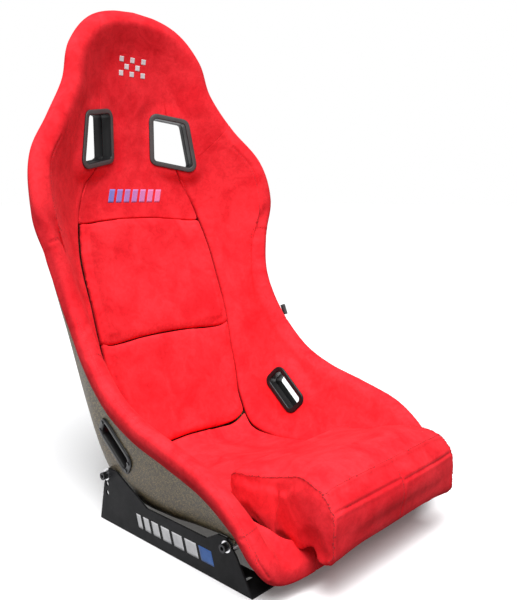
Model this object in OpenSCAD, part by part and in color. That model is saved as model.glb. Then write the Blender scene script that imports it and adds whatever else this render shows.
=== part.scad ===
// A fixed-back racing seat: a moulded bucket shell trimmed in soft fabric, with lift-out
// pads, harness slots with plastic bezels, and two side brackets that bolt to floor rails.
// Millimetres. The sitter faces -Y, +Z is up, and the brackets stand on Z = 0.

/* [Shell] */
// Thickness of the moulded shell
shell_t = 5; // [4:0.5:6]

/* [Trim] */
// Depth of the padding over the side wings and the head
wing_pad = 23; // [20:1:25]
// Thickness of the fabric covers
cover_t = 2; // [1.5:0.25:2.5]
// Depth of the padded roll behind the shell's edge
roll_back = 5; // [4:0.5:6]

/* [Pads] */
// Depth of the back pads
back_pad = 36; // [30:1:38]
// Depth of the seat pad at its back edge
seat_pad_back = 30; // [26:1:34]
// Depth of the seat pad at its front edge
seat_pad_front = 46; // [40:1:50]
// Gap between a pad and its neighbours
pad_gap = 3; // [2:0.5:4]

/* [Brackets] */
// Sheet thickness of the side brackets
bracket_t = 3; // [2.5:0.5:4]
// Distance from the middle of the seat to a bracket's outer face
bracket_x = 216; // [215:1:219]
// Distance between the front and rear bolts
bolt_pitch = 295; // [290:1:298]
// Distance between the left and right rail slots
rail_span = 376; // [366:1:382]
// Distance between the front and rear rail slots
rail_pitch = 290; // [280:1:300]
// Width of a rail slot
rail_slot_w = 8.5; // [8.5:0.5:10.5]
// Length of a rail slot, from end to end
rail_slot_l = 26; // [20:1:30]

/* [Hidden] */

FABRIC = [0.86, 0.12, 0.17];
FOAM = [0.85, 0.82, 0.72];
SHELL = [0.36, 0.33, 0.27];
BLACK = [0.05, 0.05, 0.055];
STEEL = [0.7, 0.7, 0.72];
STRIP = [0.12, 0.12, 0.13];

// ---- The seat's surface -------------------------------------------------------------
// Sections round the right half of the seat, from the middle of the front lip, along the
// thigh, waist and shoulder, to the middle of the head's top. Each holds a point on the
// centre line, the foot of the wing, and the rim.
SECTIONS = [
    [[0, -211, 62], [0, -250, 54], [0, -272, 34]],
    [[0, -206, 62], [85, -250, 54], [100, -272, 34]],
    [[0, -196, 62], [156, -244, 58], [192, -266, 36]],
    [[0, -176, 63], [172, -206, 60], [228, -256, 68]],
    [[0, -146, 62], [174, -166, 52], [240, -228, 118]],
    [[0, -111, 58], [174, -121, 42], [245, -171, 160]],
    [[0, -66, 54], [173, -66, 35], [246, -91, 185]],
    [[0, -6, 45], [170, -6, 25], [245, -11, 205]],
    [[0, 64, 36], [167, 66, 18], [243, 60, 240]],
    [[0, 129, 45], [165, 134, 30], [240, 124, 305]],
    [[0, 174, 95], [163, 176, 90], [240, 168, 385]],
    [[0, 206, 180], [162, 206, 182], [255, 187, 465]],
    [[0, 242, 290], [163, 240, 292], [276, 194, 545]],
    [[0, 284, 400], [165, 282, 402], [264, 214, 622]],
    [[0, 316, 508], [148, 313, 510], [211, 246, 690]],
    [[0, 329, 600], [98, 328, 612], [166, 266, 758]],
    [[0, 329, 680], [82, 324, 730], [143, 276, 826]],
    [[0, 326, 740], [60, 318, 810], [88, 287, 878]],
    [[0, 324, 770], [0, 318, 830], [0, 294, 896]]
];
LAST = len(SECTIONS) - 1;
FLIP = [[-1, 0, 0], [0, 1, 0], [0, 0, 1]];
// Where the trim changes: lip to wing, seat to back, lower to upper pad, pad to head
// panel, wing to head cover, all counted in sections
LIP_END = 1.3;
BACK_START = 9.75;
PAD_SPLIT = 11.9;
PAD_TOP = 13.97;
HEAD_START = 14.9;
// Across a half section, 0 is the centre line and 1 the rim. The pads end at the first,
// and the wings start at the second.
PAD_SIDE = 0.553;
WING_FROM = 0.57;
// How far the shell stands off the trim's inner surface at the foot of the wing
FOOT_OUT = [22, -8, 0];
FOOT_DOWN = [0, 0, -8];

// Sections past either end are the mirror image of those before it
function section_at(j) =
    j < 0 ? SECTIONS[-j] * FLIP : j > LAST ? SECTIONS[2 * LAST - j] * FLIP : SECTIONS[j];
// Smooth curve through b and c, at the fraction f between them
function through(a, b, c, d, f) =
    0.5 * (2 * b + (c - a) * f + (2 * a - 5 * b + 4 * c - d) * f * f
    + (3 * (b - c) + d - a) * f * f * f);
function section(u) =
    let (i = min(max(floor(u), -2), LAST - 1))
    through(section_at(i - 1), section_at(i), section_at(i + 1), section_at(i + 2), u - i);
function ramp(x, from, to) = min(1, max(0, (x - from) / (to - from)));
// Five control points of the rib across half the seat. shell is 1 for the shell's own
// surface and 0 for the surface that the trim's depth is measured from.
function controls(u, shell) =
    let (
        s = section(u),
        b = s[1] + shell * ramp(u, 14.5, 12)
            * (ramp(u, 3.5, 6.5) * FOOT_OUT + ramp(u, 1.5, 3) * FOOT_DOWN),
        swell = 0.12 * ramp(abs(u), 0, 2) * ramp(u, 17, 15) * (s[2].x - b.x)
    )
    [s[0], (s[0] + b) / 2, b, b + 0.45 * (s[2] - b) + [swell, 0, 0], s[2]];
// Cubic B-spline over four and five control points
function spline4(a, b, c, d, t) =
    pow(1 - t, 3) * a + (12 * t - 18 * t * t + 7 * t * t * t) / 4 * b
    + (1.5 * t * t - t * t * t) * c + t * t * t / 4 * d;
function on_rib(p, v) =
    v < 0.5 ? spline4(p[0], p[1], p[2], p[3], 2 * v)
    : spline4(p[4], p[3], p[2], p[1], 2 - 2 * v);
function unit(a) = a / norm(a);
STEP = 0.01;
// Direction into the seat at a point of the surface
function inward(u, v, shell) =
    let (
        w = max(v, 3 * STEP),
        along = on_rib(controls(u + STEP, shell), w) - on_rib(controls(u - STEP, shell), w),
        p = controls(u, shell),
        across = on_rib(p, w + STEP) - on_rib(p, w - STEP),
        raw = cross(across, along)
    )
    unit(v == 0 || u == 0 || u == LAST ? [0, raw.y, raw.z] : raw);
// Across the rim and away from the seat, with how far a rib runs across the rim rather
// than along it
function off_rim(u, p, into) =
    let (
        rim = on_rib(controls(u + STEP, 0), 1) - on_rib(controls(u - STEP, 0), 1),
        off = unit(cross(into, rim)),
        pull = unit(p[4] - p[3])
    )
    [off * pull < 0 ? -off : off, max(SLANT, norm(cross(pull, unit(rim))))];
SLANT = 0.4;
// A place is [v, a, n, s]: v across the half section, a millimetres back from there
// (or past the rim where a is negative), n millimetres into the seat, and s = 1 to
// measure from the shell's own surface. Negative v is the left half. Distances back from
// the rim are squeezed where the wing is shorter than SHORT_PULL allows.
SHORT_PULL = 60;
function right_point(u, place) =
    let (
        p = controls(u, place[3]),
        size = max(norm(p[4] - p[3]), SHORT_PULL),
        into_rim = inward(u, 1, place[3]),
        rim = off_rim(u, p, into_rim),
        v = abs(place[0]) - max(0, place[1]) / (6 * size * rim[1]),
        into = place[0] == 1 && place[1] <= 0 ? into_rim : inward(u, v, place[3])
    )
    on_rib(p, v) + place[2] * into + max(0, -place[1]) * rim[0];
function point(u, place) =
    let (p = right_point(u, place))
    place[0] < 0 ? p * FLIP : p;
function steps(from, to, count) = [for (i = [0 : count]) from + (to - from) * i / count];
// A chain of places mirrored, so that it runs from the left side to the right
function both_sides(chain) =
    concat([for (i = [len(chain) - 1 : -1 : 0]) flipped(chain[i])],
        [for (c = chain) if (c[0] != 0) c]);
function flipped(c) = [for (i = [0 : len(c) - 1]) i == 0 ? -c[0] : c[i]];

// ---- Solids from grids of points ----------------------------------------------------
function split(a, b, c, d, other = false) =
    other ? [[a, b, d], [b, c, d]] : [[a, b, c], [a, c, d]];
// A closed solid between an upper and a lower grid. A folded end is one where the grid's
// last row meets itself on the centre line, so that end has no wall. A full-width grid
// has its right half's faces split as the mirror image of its left half's.
module between(upper, lower, fold_start = false, fold_end = false, full_width = true) {
    rows = len(upper);
    cols = len(upper[0]);
    size = rows * cols;
    function at(i, j, low) =
        let (meets = (fold_start && i == 0) || (fold_end && i == rows - 1))
        low * size + i * cols + (meets && 2 * j > cols - 1 ? cols - 1 - j : j);
    function turned(j) = full_width && 2 * j >= cols - 1;
    faces = concat(
        [for (i = [0 : rows - 2], j = [0 : cols - 2]) each split(at(i, j, 0),
            at(i + 1, j, 0), at(i + 1, j + 1, 0), at(i, j + 1, 0), turned(j))],
        [for (i = [0 : rows - 2], j = [0 : cols - 2]) each split(at(i, j, 1),
            at(i, j + 1, 1), at(i + 1, j + 1, 1), at(i + 1, j, 1), turned(j))],
        [for (i = [0 : rows - 2])
            each split(at(i, 0, 0), at(i, 0, 1), at(i + 1, 0, 1), at(i + 1, 0, 0))],
        [for (i = [0 : rows - 2]) each split(at(i, cols - 1, 0), at(i + 1, cols - 1, 0),
            at(i + 1, cols - 1, 1), at(i, cols - 1, 1))],
        fold_start ? [] : [for (j = [0 : cols - 2])
            each split(at(0, j, 0), at(0, j + 1, 0), at(0, j + 1, 1), at(0, j, 1))],
        fold_end ? [] : [for (j = [0 : cols - 2]) each split(at(rows - 1, j, 0),
            at(rows - 1, j, 1), at(rows - 1, j + 1, 1), at(rows - 1, j + 1, 0))]
    );
    solid = [for (f = faces) if (f[0] != f[1] && f[1] != f[2] && f[2] != f[0]) f];
    polyhedron(points = concat([for (r = upper) each r], [for (r = lower) each r]), faces = solid);
}
// Sections curve upwards and forwards at the sides; this brings a seam back to straight
function level(u, v) = u - 1.1 * v * v * ramp(u, 8, 10) + 1.2 * v * v * ramp(u, 7, 5);
// Seam from the shoulder slot out to the rim, where the wing meets the head cover
function wing_level(u, v) = u - 0.8 * ramp(u, 13, HEAD_START) * ramp(v, 0.6, 1);
function head_level(f, v) =
    let (
        over_pad = v < (HEAD_SIDE + HEAD_FROM) / 2,
        low = over_pad ? level(PAD_TOP + 0.04, v) : wing_level(HEAD_START, v) + 0.035
    )
    low + (LAST - low) * f;
// Grid of points over rows: the chain gives a row's places, and at gives the section
function grid(rows, chain, at = function(u, v) u) =
    [for (r = rows) [for (c = chain(r)) point(at(r, abs(c[0])), c)]];

// ---- Profiles across the section ----------------------------------------------------
// The shell's points lie under the trim's and the strips', so that their faces run parallel
SHELL_ACROSS = [0, 0.15, 0.3, 0.4, 0.48, WING_FROM, (WING_FROM + 0.8) / 2, 0.8];
SHELL_BACK_FROM_RIM = [58, 28, 5, 0];
function shell_face(n) = both_sides(concat(
    [for (v = SHELL_ACROSS) [v, 0, n, 1]], [for (a = SHELL_BACK_FROM_RIM) [1, a, n, 1]]));
// Outside of the trim over a wing and round the rim, drawn in by d, from v = from. The
// padding thins towards the front end of the wing.
function wing_depth(u) = wing_pad * (0.55 + 0.45 * ramp(u, LIP_END, 2.8));
function wing_face(u, d, from) =
    let (n = wing_depth(u) - d)
    [
        for (v = [from, (from + 0.8) / 2, 0.8]) [v, 0, n, 0],
        [1, 58, n, 0], [1, 28, n + 1, 0], [1, 5, n, 0],
        [1, -7 + 0.7 * d, 0.6 * n, 0], [1, -12 + d, 3, 0], [1, -9 + 0.7 * d, -6 + 0.7 * d, 0],
        [1, 0, -shell_t - roll_back + d, 1]
    ];
COVER_TUCK = 24;
TUCK_CLEAR = 1.1;
function tuck(d) = [1, COVER_TUCK, -shell_t - TUCK_CLEAR - cover_t + d, 1];
CLEAR = 0.4;
FOAM_CLEAR = 0.9;
// The head's rows lie between the shell's, so its foam stands further off
HEAD_CLEAR = 1.3;
function shell_side(from, off) = [
    for (v = [from, (from + 0.8) / 2, 0.8]) [v, 0, off, 1],
    [1, 58, off, 1], [1, 28, off, 1], [1, 5, off, 1], [1, -off, off, 1],
    [1, -off, -1, 1], [1, -off, -2, 1], [1, -off, -shell_t + RIM_CLEAR, 1]
];
FOAM_DROP = 0.8;
// The foam stops short of the cover where it turns in behind the shell's edge
RIM_CLEAR = 0.5;

// ---- Shell and fixed trim -----------------------------------------------------------
SHELL_ROWS = concat([0, 0.5, 1, LIP_END], steps(1.5, LAST, 33));
WING_ROWS = concat([LIP_END + 0.03], steps(1.5, 14.5, 26), [HEAD_START]);
HEAD_ROWS = [0, 0.06, 0.13, 0.2, 0.3, 0.4, 0.5, 0.6, 0.7, 0.8, 0.88, 0.95, 1];
LIP_ROWS = steps(-LIP_END, LIP_END, 8);
WING_TRIM = function(u, v) wing_level(u, v);
HEAD_TRIM = function(f, v) head_level(f, v);
// Middle of a full-width trim piece, from the centre line out to the wing
HEAD_SIDE = 0.54;
HEAD_FROM = 0.56;
function middle(n, s) = [for (v = [0, 0.2, 0.4, HEAD_SIDE]) [v, 0, n, s]];
// The head's foam dips under the seam between its middle and its sides
SEAM_DIP = 3;
function dipped(chain) = [for (c = chain)
    c[0] == HEAD_SIDE || c[0] == HEAD_FROM ? [c[0], c[1], c[2] - SEAM_DIP, c[3]] : c];
function full_foam_face(d) =
    both_sides(dipped(concat(middle(wing_pad - d, 0), wing_face(LAST, d, HEAD_FROM))));
function full_cover(d) =
    both_sides(concat(middle(wing_pad - d, 0), wing_face(LAST, d, HEAD_FROM), [tuck(d)]));
function full_shell_side() =
    both_sides(concat(middle(HEAD_CLEAR, 1), shell_side(HEAD_FROM, HEAD_CLEAR)));

// A cut through a meshed solid. Resizing by nothing keeps the result one smooth mesh.
module cut_mesh() {
    resize([0, 0, 0]) difference() {
        children(0);
        children(1);
    }
}
function wing_skin(u, d) = concat(wing_face(u, d, WING_FROM), [tuck(d)]);
module right_wing_foam_solid() {
    between(
        grid(WING_ROWS, function(u) wing_face(u, cover_t + FOAM_DROP, WING_FROM), WING_TRIM),
        grid(WING_ROWS, function(u) shell_side(WING_FROM, FOAM_CLEAR), WING_TRIM),
        full_width = false);
}
module right_wing_cover_solid() {
    between(grid(WING_ROWS, function(u) wing_skin(u, 0), WING_TRIM),
        grid(WING_ROWS, function(u) wing_skin(u, cover_t), WING_TRIM),
        full_width = false);
}
module left() { mirror([1, 0, 0]) children(); }

module shell() {
    color(SHELL) cut_mesh() {
        between(grid(SHELL_ROWS, function(u) shell_face(0)),
            grid(SHELL_ROWS, function(u) shell_face(-shell_t)), true, true);
        trim_holes();
    }
}
module head_foam() {
    color(FOAM) cut_mesh() {
        between(grid(HEAD_ROWS, function(f) full_foam_face(cover_t + FOAM_DROP), HEAD_TRIM),
            grid(HEAD_ROWS, function(f) full_shell_side(), HEAD_TRIM), false, true);
        trim_holes();
    }
}
module head_cover() {
    color(FABRIC) cut_mesh() {
        between(grid(HEAD_ROWS, function(f) full_cover(0), HEAD_TRIM),
            grid(HEAD_ROWS, function(f) full_cover(cover_t), HEAD_TRIM), false, true);
        trim_holes();
    }
}
module right_wing_foam() {
    color(FOAM) cut_mesh() {
        right_wing_foam_solid();
        trim_holes();
    }
}
module right_wing_cover() {
    color(FABRIC) cut_mesh() {
        right_wing_cover_solid();
        trim_holes();
    }
}
module left_wing_foam() { left() right_wing_foam(); }
module left_wing_cover() { left() right_wing_cover(); }
// The front lip's padding starts thin, under the thigh pad, and thickens to the rim
LIP_INNER = [0.3, 0.45];
LIP_INNER_DEPTH = [4.5, 6.5];
LIP_FROM = 0.62;
LIP_CLEAR = 0.8;
function lip_face(d) = concat(
    [for (i = [0, 1]) [LIP_INNER[i], 0, LIP_INNER_DEPTH[i] - d, 0]],
    wing_face(LIP_END, d, LIP_FROM));
function lip_cover(d) = concat(lip_face(d), [tuck(d)]);
function lip_shell_side() =
    concat([for (v = LIP_INNER) [v, 0, LIP_CLEAR, 1]], shell_side(LIP_FROM, LIP_CLEAR));
module front_lip_foam() {
    color(FOAM) between(grid(LIP_ROWS, function(u) lip_face(cover_t + FOAM_DROP)),
        grid(LIP_ROWS, function(u) lip_shell_side()), full_width = false);
}
module front_lip_cover() {
    color(FABRIC) between(grid(LIP_ROWS, function(u) lip_cover(0)),
        grid(LIP_ROWS, function(u) lip_cover(cover_t)), full_width = false);
}

// ---- Lift-out pads ------------------------------------------------------------------
// Hook strips lie on the shell and loop strips under the pads, a hair apart
STRIP_T = 1.4;
HOOK_AT = 1.1;
LOOP_AT = HOOK_AT + STRIP_T + 0.4;
PAD_AT = LOOP_AT + STRIP_T + 0.6;
// Pads narrow towards the shell, so that they lift out past their neighbours
PAD_BACK_SIDE = 0.36;
PAD_TAPER = 0.14;
EDGE_DROP = 9;
PAD_ACROSS = [0, 0.12, 0.25, 0.38, 0.49];
// Top of a pad that is deep in the middle and falls away at its edges
function pad_face(depth, d, side) = both_sides(concat(
    [for (v = PAD_ACROSS) [v, 0, depth - d, 0]],
    [[side - 0.02, 0, depth - 3 - d, 0], [side, 0, depth - EDGE_DROP - d, 0]]));
function pad_back(n) = both_sides([for (v = concat(PAD_ACROSS, [PAD_SIDE - 0.02, PAD_SIDE]))
    [v * PAD_BACK_SIDE / PAD_SIDE, 0, n, 1]]);
// Depth over a pad's length, t = 0 to 1, with its two ends drawn down
function ends_down(t) = EDGE_DROP * (t < 0.02 || t > 0.98 ? 1 : t < 0.05 || t > 0.95 ? 0.3 : 0);
PAD_ROWS = concat([0, 0.03], steps(0.12, 0.88, 7), [0.97, 1]);
// A pad is [section at its first end, section at its other end, depth at each of the two,
// how much its side draws in at each of the two]
function pad_top(pad, t, d) = pad_face(
    pad[2] + (pad[3] - pad[2]) * t - ends_down(t), d,
    PAD_SIDE - pad[4] * ramp(t, 0.5, 0) - pad[5] * ramp(t, 0.5, 1));
function pad_top_grid(pad, d) = grid(PAD_ROWS, function(t) pad_top(pad, t, d),
    function(t, v) level(pad[0] + (pad[1] - pad[0]) * t, v));
function pad_back_grid(pad) = grid(PAD_ROWS, function(t) pad_back(PAD_AT + CLEAR),
    function(t, v) level(pad[0] + PAD_TAPER + (pad[1] - pad[0] - 2 * PAD_TAPER) * t, v));
module core(pad) {
    color(FOAM) between(pad_top_grid(pad, cover_t + FOAM_DROP), pad_back_grid(pad));
}
module skin(pad) {
    color(FABRIC) between(pad_top_grid(pad, 0), pad_top_grid(pad, cover_t));
}
// Strips across a pad, given as pairs: the section at the strip's middle and half the
// strip's width in sections
STRIP_ACROSS = [0, 0.15, 0.3];
module strips(list, n) {
    for (s = list) {
        rows = [s[0] - s[1], s[0], s[0] + s[1]];
        between(grid(rows, function(r) strip_chain(n + STRIP_T), function(r, v) level(r, v)),
            grid(rows, function(r) strip_chain(n), function(r, v) level(r, v)));
    }
}
function strip_chain(n) = both_sides([for (v = STRIP_ACROSS) [v, 0, n, 1]]);
GAP_U = pad_gap / 100;
UPPER = [PAD_SPLIT + GAP_U / 2, PAD_TOP, back_pad, back_pad, 0, 0.008];
LOWER = [BACK_START + GAP_U, PAD_SPLIT - GAP_U / 2, back_pad, back_pad, 0.012, 0];
SEAT_FRONT = 4.9;
SEAT = [SEAT_FRONT + GAP_U / 2, BACK_START - 3.5 * GAP_U, seat_pad_front, seat_pad_back, 0, 0.046];
UPPER_STRIPS = [[12.4, 0.14], [13.4, 0.14]];
LOWER_STRIPS = [[10.4, 0.14], [11.3, 0.14]];
SEAT_STRIPS = [[6, 0.2], [7.6, 0.2]];
THIGH_STRIPS = [[3.1, 0.35], [4.2, 0.35]];
module upper_back_foam() { core(UPPER); }
module upper_back_cover() { skin(UPPER); }
module upper_back_loop_strips() { color(STRIP) strips(UPPER_STRIPS, LOOP_AT); }
module lower_back_foam() { core(LOWER); }
module lower_back_cover() { skin(LOWER); }
module lower_back_loop_strips() { color(STRIP) strips(LOWER_STRIPS, LOOP_AT); }
module seat_pad_foam() { core(SEAT); }
module seat_pad_cover() { skin(SEAT); }
module seat_pad_loop_strips() { color(STRIP) strips(SEAT_STRIPS, LOOP_AT); }

// The thigh pad's outline from the side, front at the left: its top and its underside
THIGH_TOP = [[-304, 69], [-322, 66], [-337, 73], [-341, 105], [-336, 150], [-318, 169],
    [-285, 178], [-250, 175], [-200, 158], [-150, 139], [-116, 127], [-110, 116]];
THIGH_UNDER = [[-300, 71], [-297, 72], [-292, 73], [-286, 73], [-278, 72], [-268, 71],
    [-255, 72], [-235, 70], [-200, 68], [-165, 68], [-140, 68], [-120, 71]];
THIGH_ACROSS = [0, 0.35, 0.65, 0.86, 0.96, 1];
// Half width of the thigh pad: it spreads in front of the wings
function thigh_half(y) = 146 + 20 * ramp(y, -235, -300);
// Crown across the pad, as a share of its depth
function thigh_place(top, under, w, share) =
    let (p = under + (top - under) * share * (1 - 0.3 * pow(abs(w), 8)))
    [w * thigh_half(p.x), p.x, p.y];
THIGH_W = concat([for (i = [5 : -1 : 1]) -THIGH_ACROSS[i]], THIGH_ACROSS);
function thigh_grid(share) = [for (i = [0 : len(THIGH_TOP) - 1])
    [for (w = THIGH_W) thigh_place(THIGH_TOP[i], THIGH_UNDER[i], w, share)]];
module thigh_pad_foam() { color(FOAM) between(thigh_grid(0.95), thigh_grid(0)); }
module thigh_pad_cover() { color(FABRIC) between(thigh_grid(1), thigh_grid(0.96)); }

// ---- Harness slots ------------------------------------------------------------------
// Corners of the right shoulder slot, seen from the front in its own plane
SHOULDER_CORNERS = [[-30, -32], [38, -44], [24, 31], [-30, 39]];
SHOULDER_AT = [89, 290, 666];
SHOULDER_YAW = 21;
// Corners of the lap slot, seen from inside the right wing
LAP_CORNERS = [[-32, -9], [32, -9], [32, 9], [-32, 9]];
LAP_AT = [190, 58, 160];
LAP_TILT = 41;
LAP_LEAN = 12;
LAP_YAW = 8;
CORNER_R = 7;
module rounded(corners, grow) {
    hull() for (c = corners) translate(c) circle(CORNER_R + grow, $fn = 32);
}
// Puts a flat outline's +Z along the way out of the right shoulder slot
module at_shoulder() {
    translate(SHOULDER_AT) rotate([90, 0, -SHOULDER_YAW]) children();
}
module at_lap() {
    translate(LAP_AT) rotate([0, LAP_LEAN, LAP_YAW]) rotate([LAP_TILT - 90, 0, 0])
        rotate([0, -90, 0]) children();
}
module trim_holes() {
    at_bolts() translate([0, 0, -INSERT_L - bracket_t - 0.3])
        cylinder(r = INSERT_R + 0.3, h = INSERT_L + 20, $fn = 32);
    for (side = [0, 1]) mirror([side, 0, 0]) {
        at_shoulder() translate([0, 0, -60]) linear_extrude(120) rounded(SHOULDER_CORNERS, 3);
        at_lap() translate([0, 0, -60]) linear_extrude(120) rounded(LAP_CORNERS, 3);
    }
}

// ---- Slot bezels --------------------------------------------------------------------
FLANGE = 10;
FLANGE_T = 3;
SLEEVE_T = 2;
// A bezel half: a flange and the sleeve behind it, with z = 0 at the flange's back
module bezel(corners, sleeve) {
    color(BLACK) difference() {
        union() {
            linear_extrude(FLANGE_T) rounded(corners, FLANGE);
            translate([0, 0, -sleeve]) linear_extrude(sleeve + 1) rounded(corners, SLEEVE_T);
        }
        translate([0, 0, -sleeve - 1]) linear_extrude(sleeve + FLANGE_T + 2) rounded(corners, 0);
    }
}
// Small screws through a backing's flange, near its corners, with z = 0 at the flange's
// outer face
SCREW_OUT = 11;
SCREW_L = 7.5;
module corner_screws(corners) {
    for (c = corners) translate(c + SCREW_OUT * unit(c)) {
        cylinder(r = 3.2, h = 1.6, $fn = 32);
        translate([0, 0, -SCREW_L]) cylinder(r = 1.5, h = SCREW_L + 0.5, $fn = 32);
    }
}
SHOULDER_FACE = 2;
SHOULDER_BACK = -34;
LAP_FACE = 3;
LAP_BACK = -39.5;
module right_shoulder_bezel() {
    at_shoulder() translate([0, 0, SHOULDER_FACE]) bezel(SHOULDER_CORNERS, 18);
}
module right_shoulder_backing() {
    at_shoulder() translate([0, 0, SHOULDER_BACK]) mirror([0, 0, 1]) bezel(SHOULDER_CORNERS, 17);
}
module right_lap_bezel() {
    at_lap() translate([0, 0, LAP_FACE]) bezel(LAP_CORNERS, 20);
}
module right_lap_backing() {
    at_lap() translate([0, 0, LAP_BACK]) mirror([0, 0, 1]) bezel(LAP_CORNERS, 21);
}
module left_shoulder_bezel() { left() right_shoulder_bezel(); }
module left_shoulder_backing() { left() right_shoulder_backing(); }
module left_lap_bezel() { left() right_lap_bezel(); }
module left_lap_backing() { left() right_lap_backing(); }

// ---- Side brackets and their fasteners ----------------------------------------------
REAR_BOLT = [110, 84];
FRONT_BOLT_Z = 61;
FRONT_BOLT = [REAR_BOLT.x - sqrt(pow(bolt_pitch, 2) - pow(REAR_BOLT.y - FRONT_BOLT_Z, 2)),
    FRONT_BOLT_Z];
// Spare height holes below the rear bolt
SPARE_DROPS = [16, 32];
BRACKET_BACK = 132;
BRACKET_FRONT = -235;
FOOT_W = 52;
BOLT_R = 4;
HOLE_R = 4.25;
RAIL_MID = -50;
// Top edge of the upright plate, from the front corner to the back: y, z
PLATE_TOP = [[BRACKET_FRONT, 0], [-203, 52], [-183, 73], [-165, 73], [-140, 58], [1, 58],
    [82, 97], [104, 97], [118, 69], [BRACKET_BACK, 0]];
module plate_outline() {
    difference() {
        polygon(PLATE_TOP);
        for (hole = concat([REAR_BOLT, FRONT_BOLT], [for (d = SPARE_DROPS) REAR_BOLT - [0, d]]))
            translate(hole) circle(HOLE_R, $fn = 48);
    }
}
module rail_slot() {
    straight = rail_slot_l - rail_slot_w;
    for (end = [-1, 1]) translate([end * straight / 2, 0, -1])
        cylinder(d = rail_slot_w, h = bracket_t + 2, $fn = 48);
    translate([-straight / 2, -rail_slot_w / 2, -1]) cube([straight, rail_slot_w, bracket_t + 2]);
}
module right_bracket() {
    color(BLACK) {
        translate([bracket_x - bracket_t, 0, 0]) rotate([90, 0, 90])
            linear_extrude(bracket_t) plate_outline();
        difference() {
            translate([bracket_x - FOOT_W, BRACKET_FRONT, 0])
                cube([FOOT_W - 1, BRACKET_BACK - BRACKET_FRONT, bracket_t]);
            for (end = [-1, 1])
                translate([rail_span / 2, RAIL_MID + end * rail_pitch / 2, 0]) rail_slot();
        }
    }
}
module left_bracket() { left() right_bracket(); }
// Puts +Z out of the bracket's outer face at each of the four bolts
module at_bolts() {
    for (side = [0, 1], bolt = [REAR_BOLT, FRONT_BOLT]) mirror([side, 0, 0])
        translate([bracket_x, bolt.x, bolt.y]) rotate([0, 90, 0]) children();
}
WASHER_T = 1.6;
WASHER_R = 9;
HEAD_R = 6.5;
HEAD_H = 8;
KEY_R = 3.4;
BOLT_IN = 26;
INSERT_R = 11;
INSERT_L = 28;
module bracket_washers() {
    color(STEEL) at_bolts() difference() {
        cylinder(r = WASHER_R, h = WASHER_T, $fn = 48);
        translate([0, 0, -1]) cylinder(r = HOLE_R, h = WASHER_T + 2, $fn = 48);
    }
}
module bracket_bolts() {
    color(BLACK) at_bolts() {
        translate([0, 0, WASHER_T]) difference() {
            cylinder(r = HEAD_R, h = HEAD_H, $fn = 48);
            translate([0, 0, HEAD_H / 2]) cylinder(r = KEY_R, h = HEAD_H, $fn = 6);
        }
        translate([0, 0, -BOLT_IN]) cylinder(r = BOLT_R, h = BOLT_IN + WASHER_T + 0.5, $fn = 48);
    }
}
// Threaded inserts bonded into the shell's sides, flush with the bracket
module side_inserts() {
    color(STEEL) at_bolts() translate([0, 0, -INSERT_L - bracket_t]) difference() {
        cylinder(r = INSERT_R, h = INSERT_L, $fn = 48);
        translate([0, 0, 3]) cylinder(r = BOLT_R, h = INSERT_L, $fn = 48);
    }
}

// ---- Small trim ---------------------------------------------------------------------
module shell_hook_strips() {
    color(STRIP) strips(concat(UPPER_STRIPS, LOWER_STRIPS, SEAT_STRIPS, THIGH_STRIPS), HOOK_AT);
}
module thigh_pad_loop_strips() { color(STRIP) strips(THIGH_STRIPS, LOOP_AT); }
module bezel_screws() {
    color(BLACK) for (side = [0, 1]) mirror([side, 0, 0]) {
        at_shoulder() translate([0, 0, SHOULDER_BACK - FLANGE_T]) mirror([0, 0, 1])
            corner_screws(SHOULDER_CORNERS);
        at_lap() translate([0, 0, LAP_BACK - FLANGE_T]) mirror([0, 0, 1])
            corner_screws(LAP_CORNERS);
    }
}
// Folded pull tab sewn to the right side of the waist
TAG = [3, 16, 24];
TAG_AT = [247, 104, 308];
TAG_LEAN = -30;
module side_tag() {
    color(BLACK) translate(TAG_AT) rotate([TAG_LEAN, 0, 0]) cube(TAG);
}

shell();
head_foam();
head_cover();
left_wing_foam();
right_wing_foam();
left_wing_cover();
right_wing_cover();
front_lip_foam();
front_lip_cover();
shell_hook_strips();
upper_back_foam();
upper_back_cover();
upper_back_loop_strips();
lower_back_foam();
lower_back_cover();
lower_back_loop_strips();
seat_pad_foam();
seat_pad_cover();
seat_pad_loop_strips();
thigh_pad_foam();
thigh_pad_cover();
thigh_pad_loop_strips();
left_shoulder_bezel();
right_shoulder_bezel();
left_shoulder_backing();
right_shoulder_backing();
left_lap_bezel();
right_lap_bezel();
left_lap_backing();
right_lap_backing();
bezel_screws();
left_bracket();
right_bracket();
side_inserts();
bracket_bolts();
bracket_washers();
side_tag();
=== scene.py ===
import math

import bmesh
import bpy
import numpy as np
from mathutils import Matrix, Vector
from mathutils.bvhtree import BVHTree
from mathutils.kdtree import KDTree


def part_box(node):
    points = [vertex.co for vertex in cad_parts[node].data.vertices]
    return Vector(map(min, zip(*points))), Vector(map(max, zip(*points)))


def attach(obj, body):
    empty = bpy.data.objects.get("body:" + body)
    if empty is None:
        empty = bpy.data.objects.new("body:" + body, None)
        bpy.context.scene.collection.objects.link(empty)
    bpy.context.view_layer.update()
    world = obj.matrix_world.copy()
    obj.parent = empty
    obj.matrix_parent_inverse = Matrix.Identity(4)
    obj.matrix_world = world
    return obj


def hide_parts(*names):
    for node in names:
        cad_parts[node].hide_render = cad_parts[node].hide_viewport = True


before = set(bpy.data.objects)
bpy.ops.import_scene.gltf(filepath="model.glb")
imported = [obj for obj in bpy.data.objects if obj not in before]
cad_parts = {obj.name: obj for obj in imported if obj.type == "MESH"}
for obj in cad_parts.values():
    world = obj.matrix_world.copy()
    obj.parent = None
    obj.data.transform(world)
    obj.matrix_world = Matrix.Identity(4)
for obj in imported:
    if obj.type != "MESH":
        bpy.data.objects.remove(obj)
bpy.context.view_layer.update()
scene = bpy.context.scene
MM = 0.001

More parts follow.
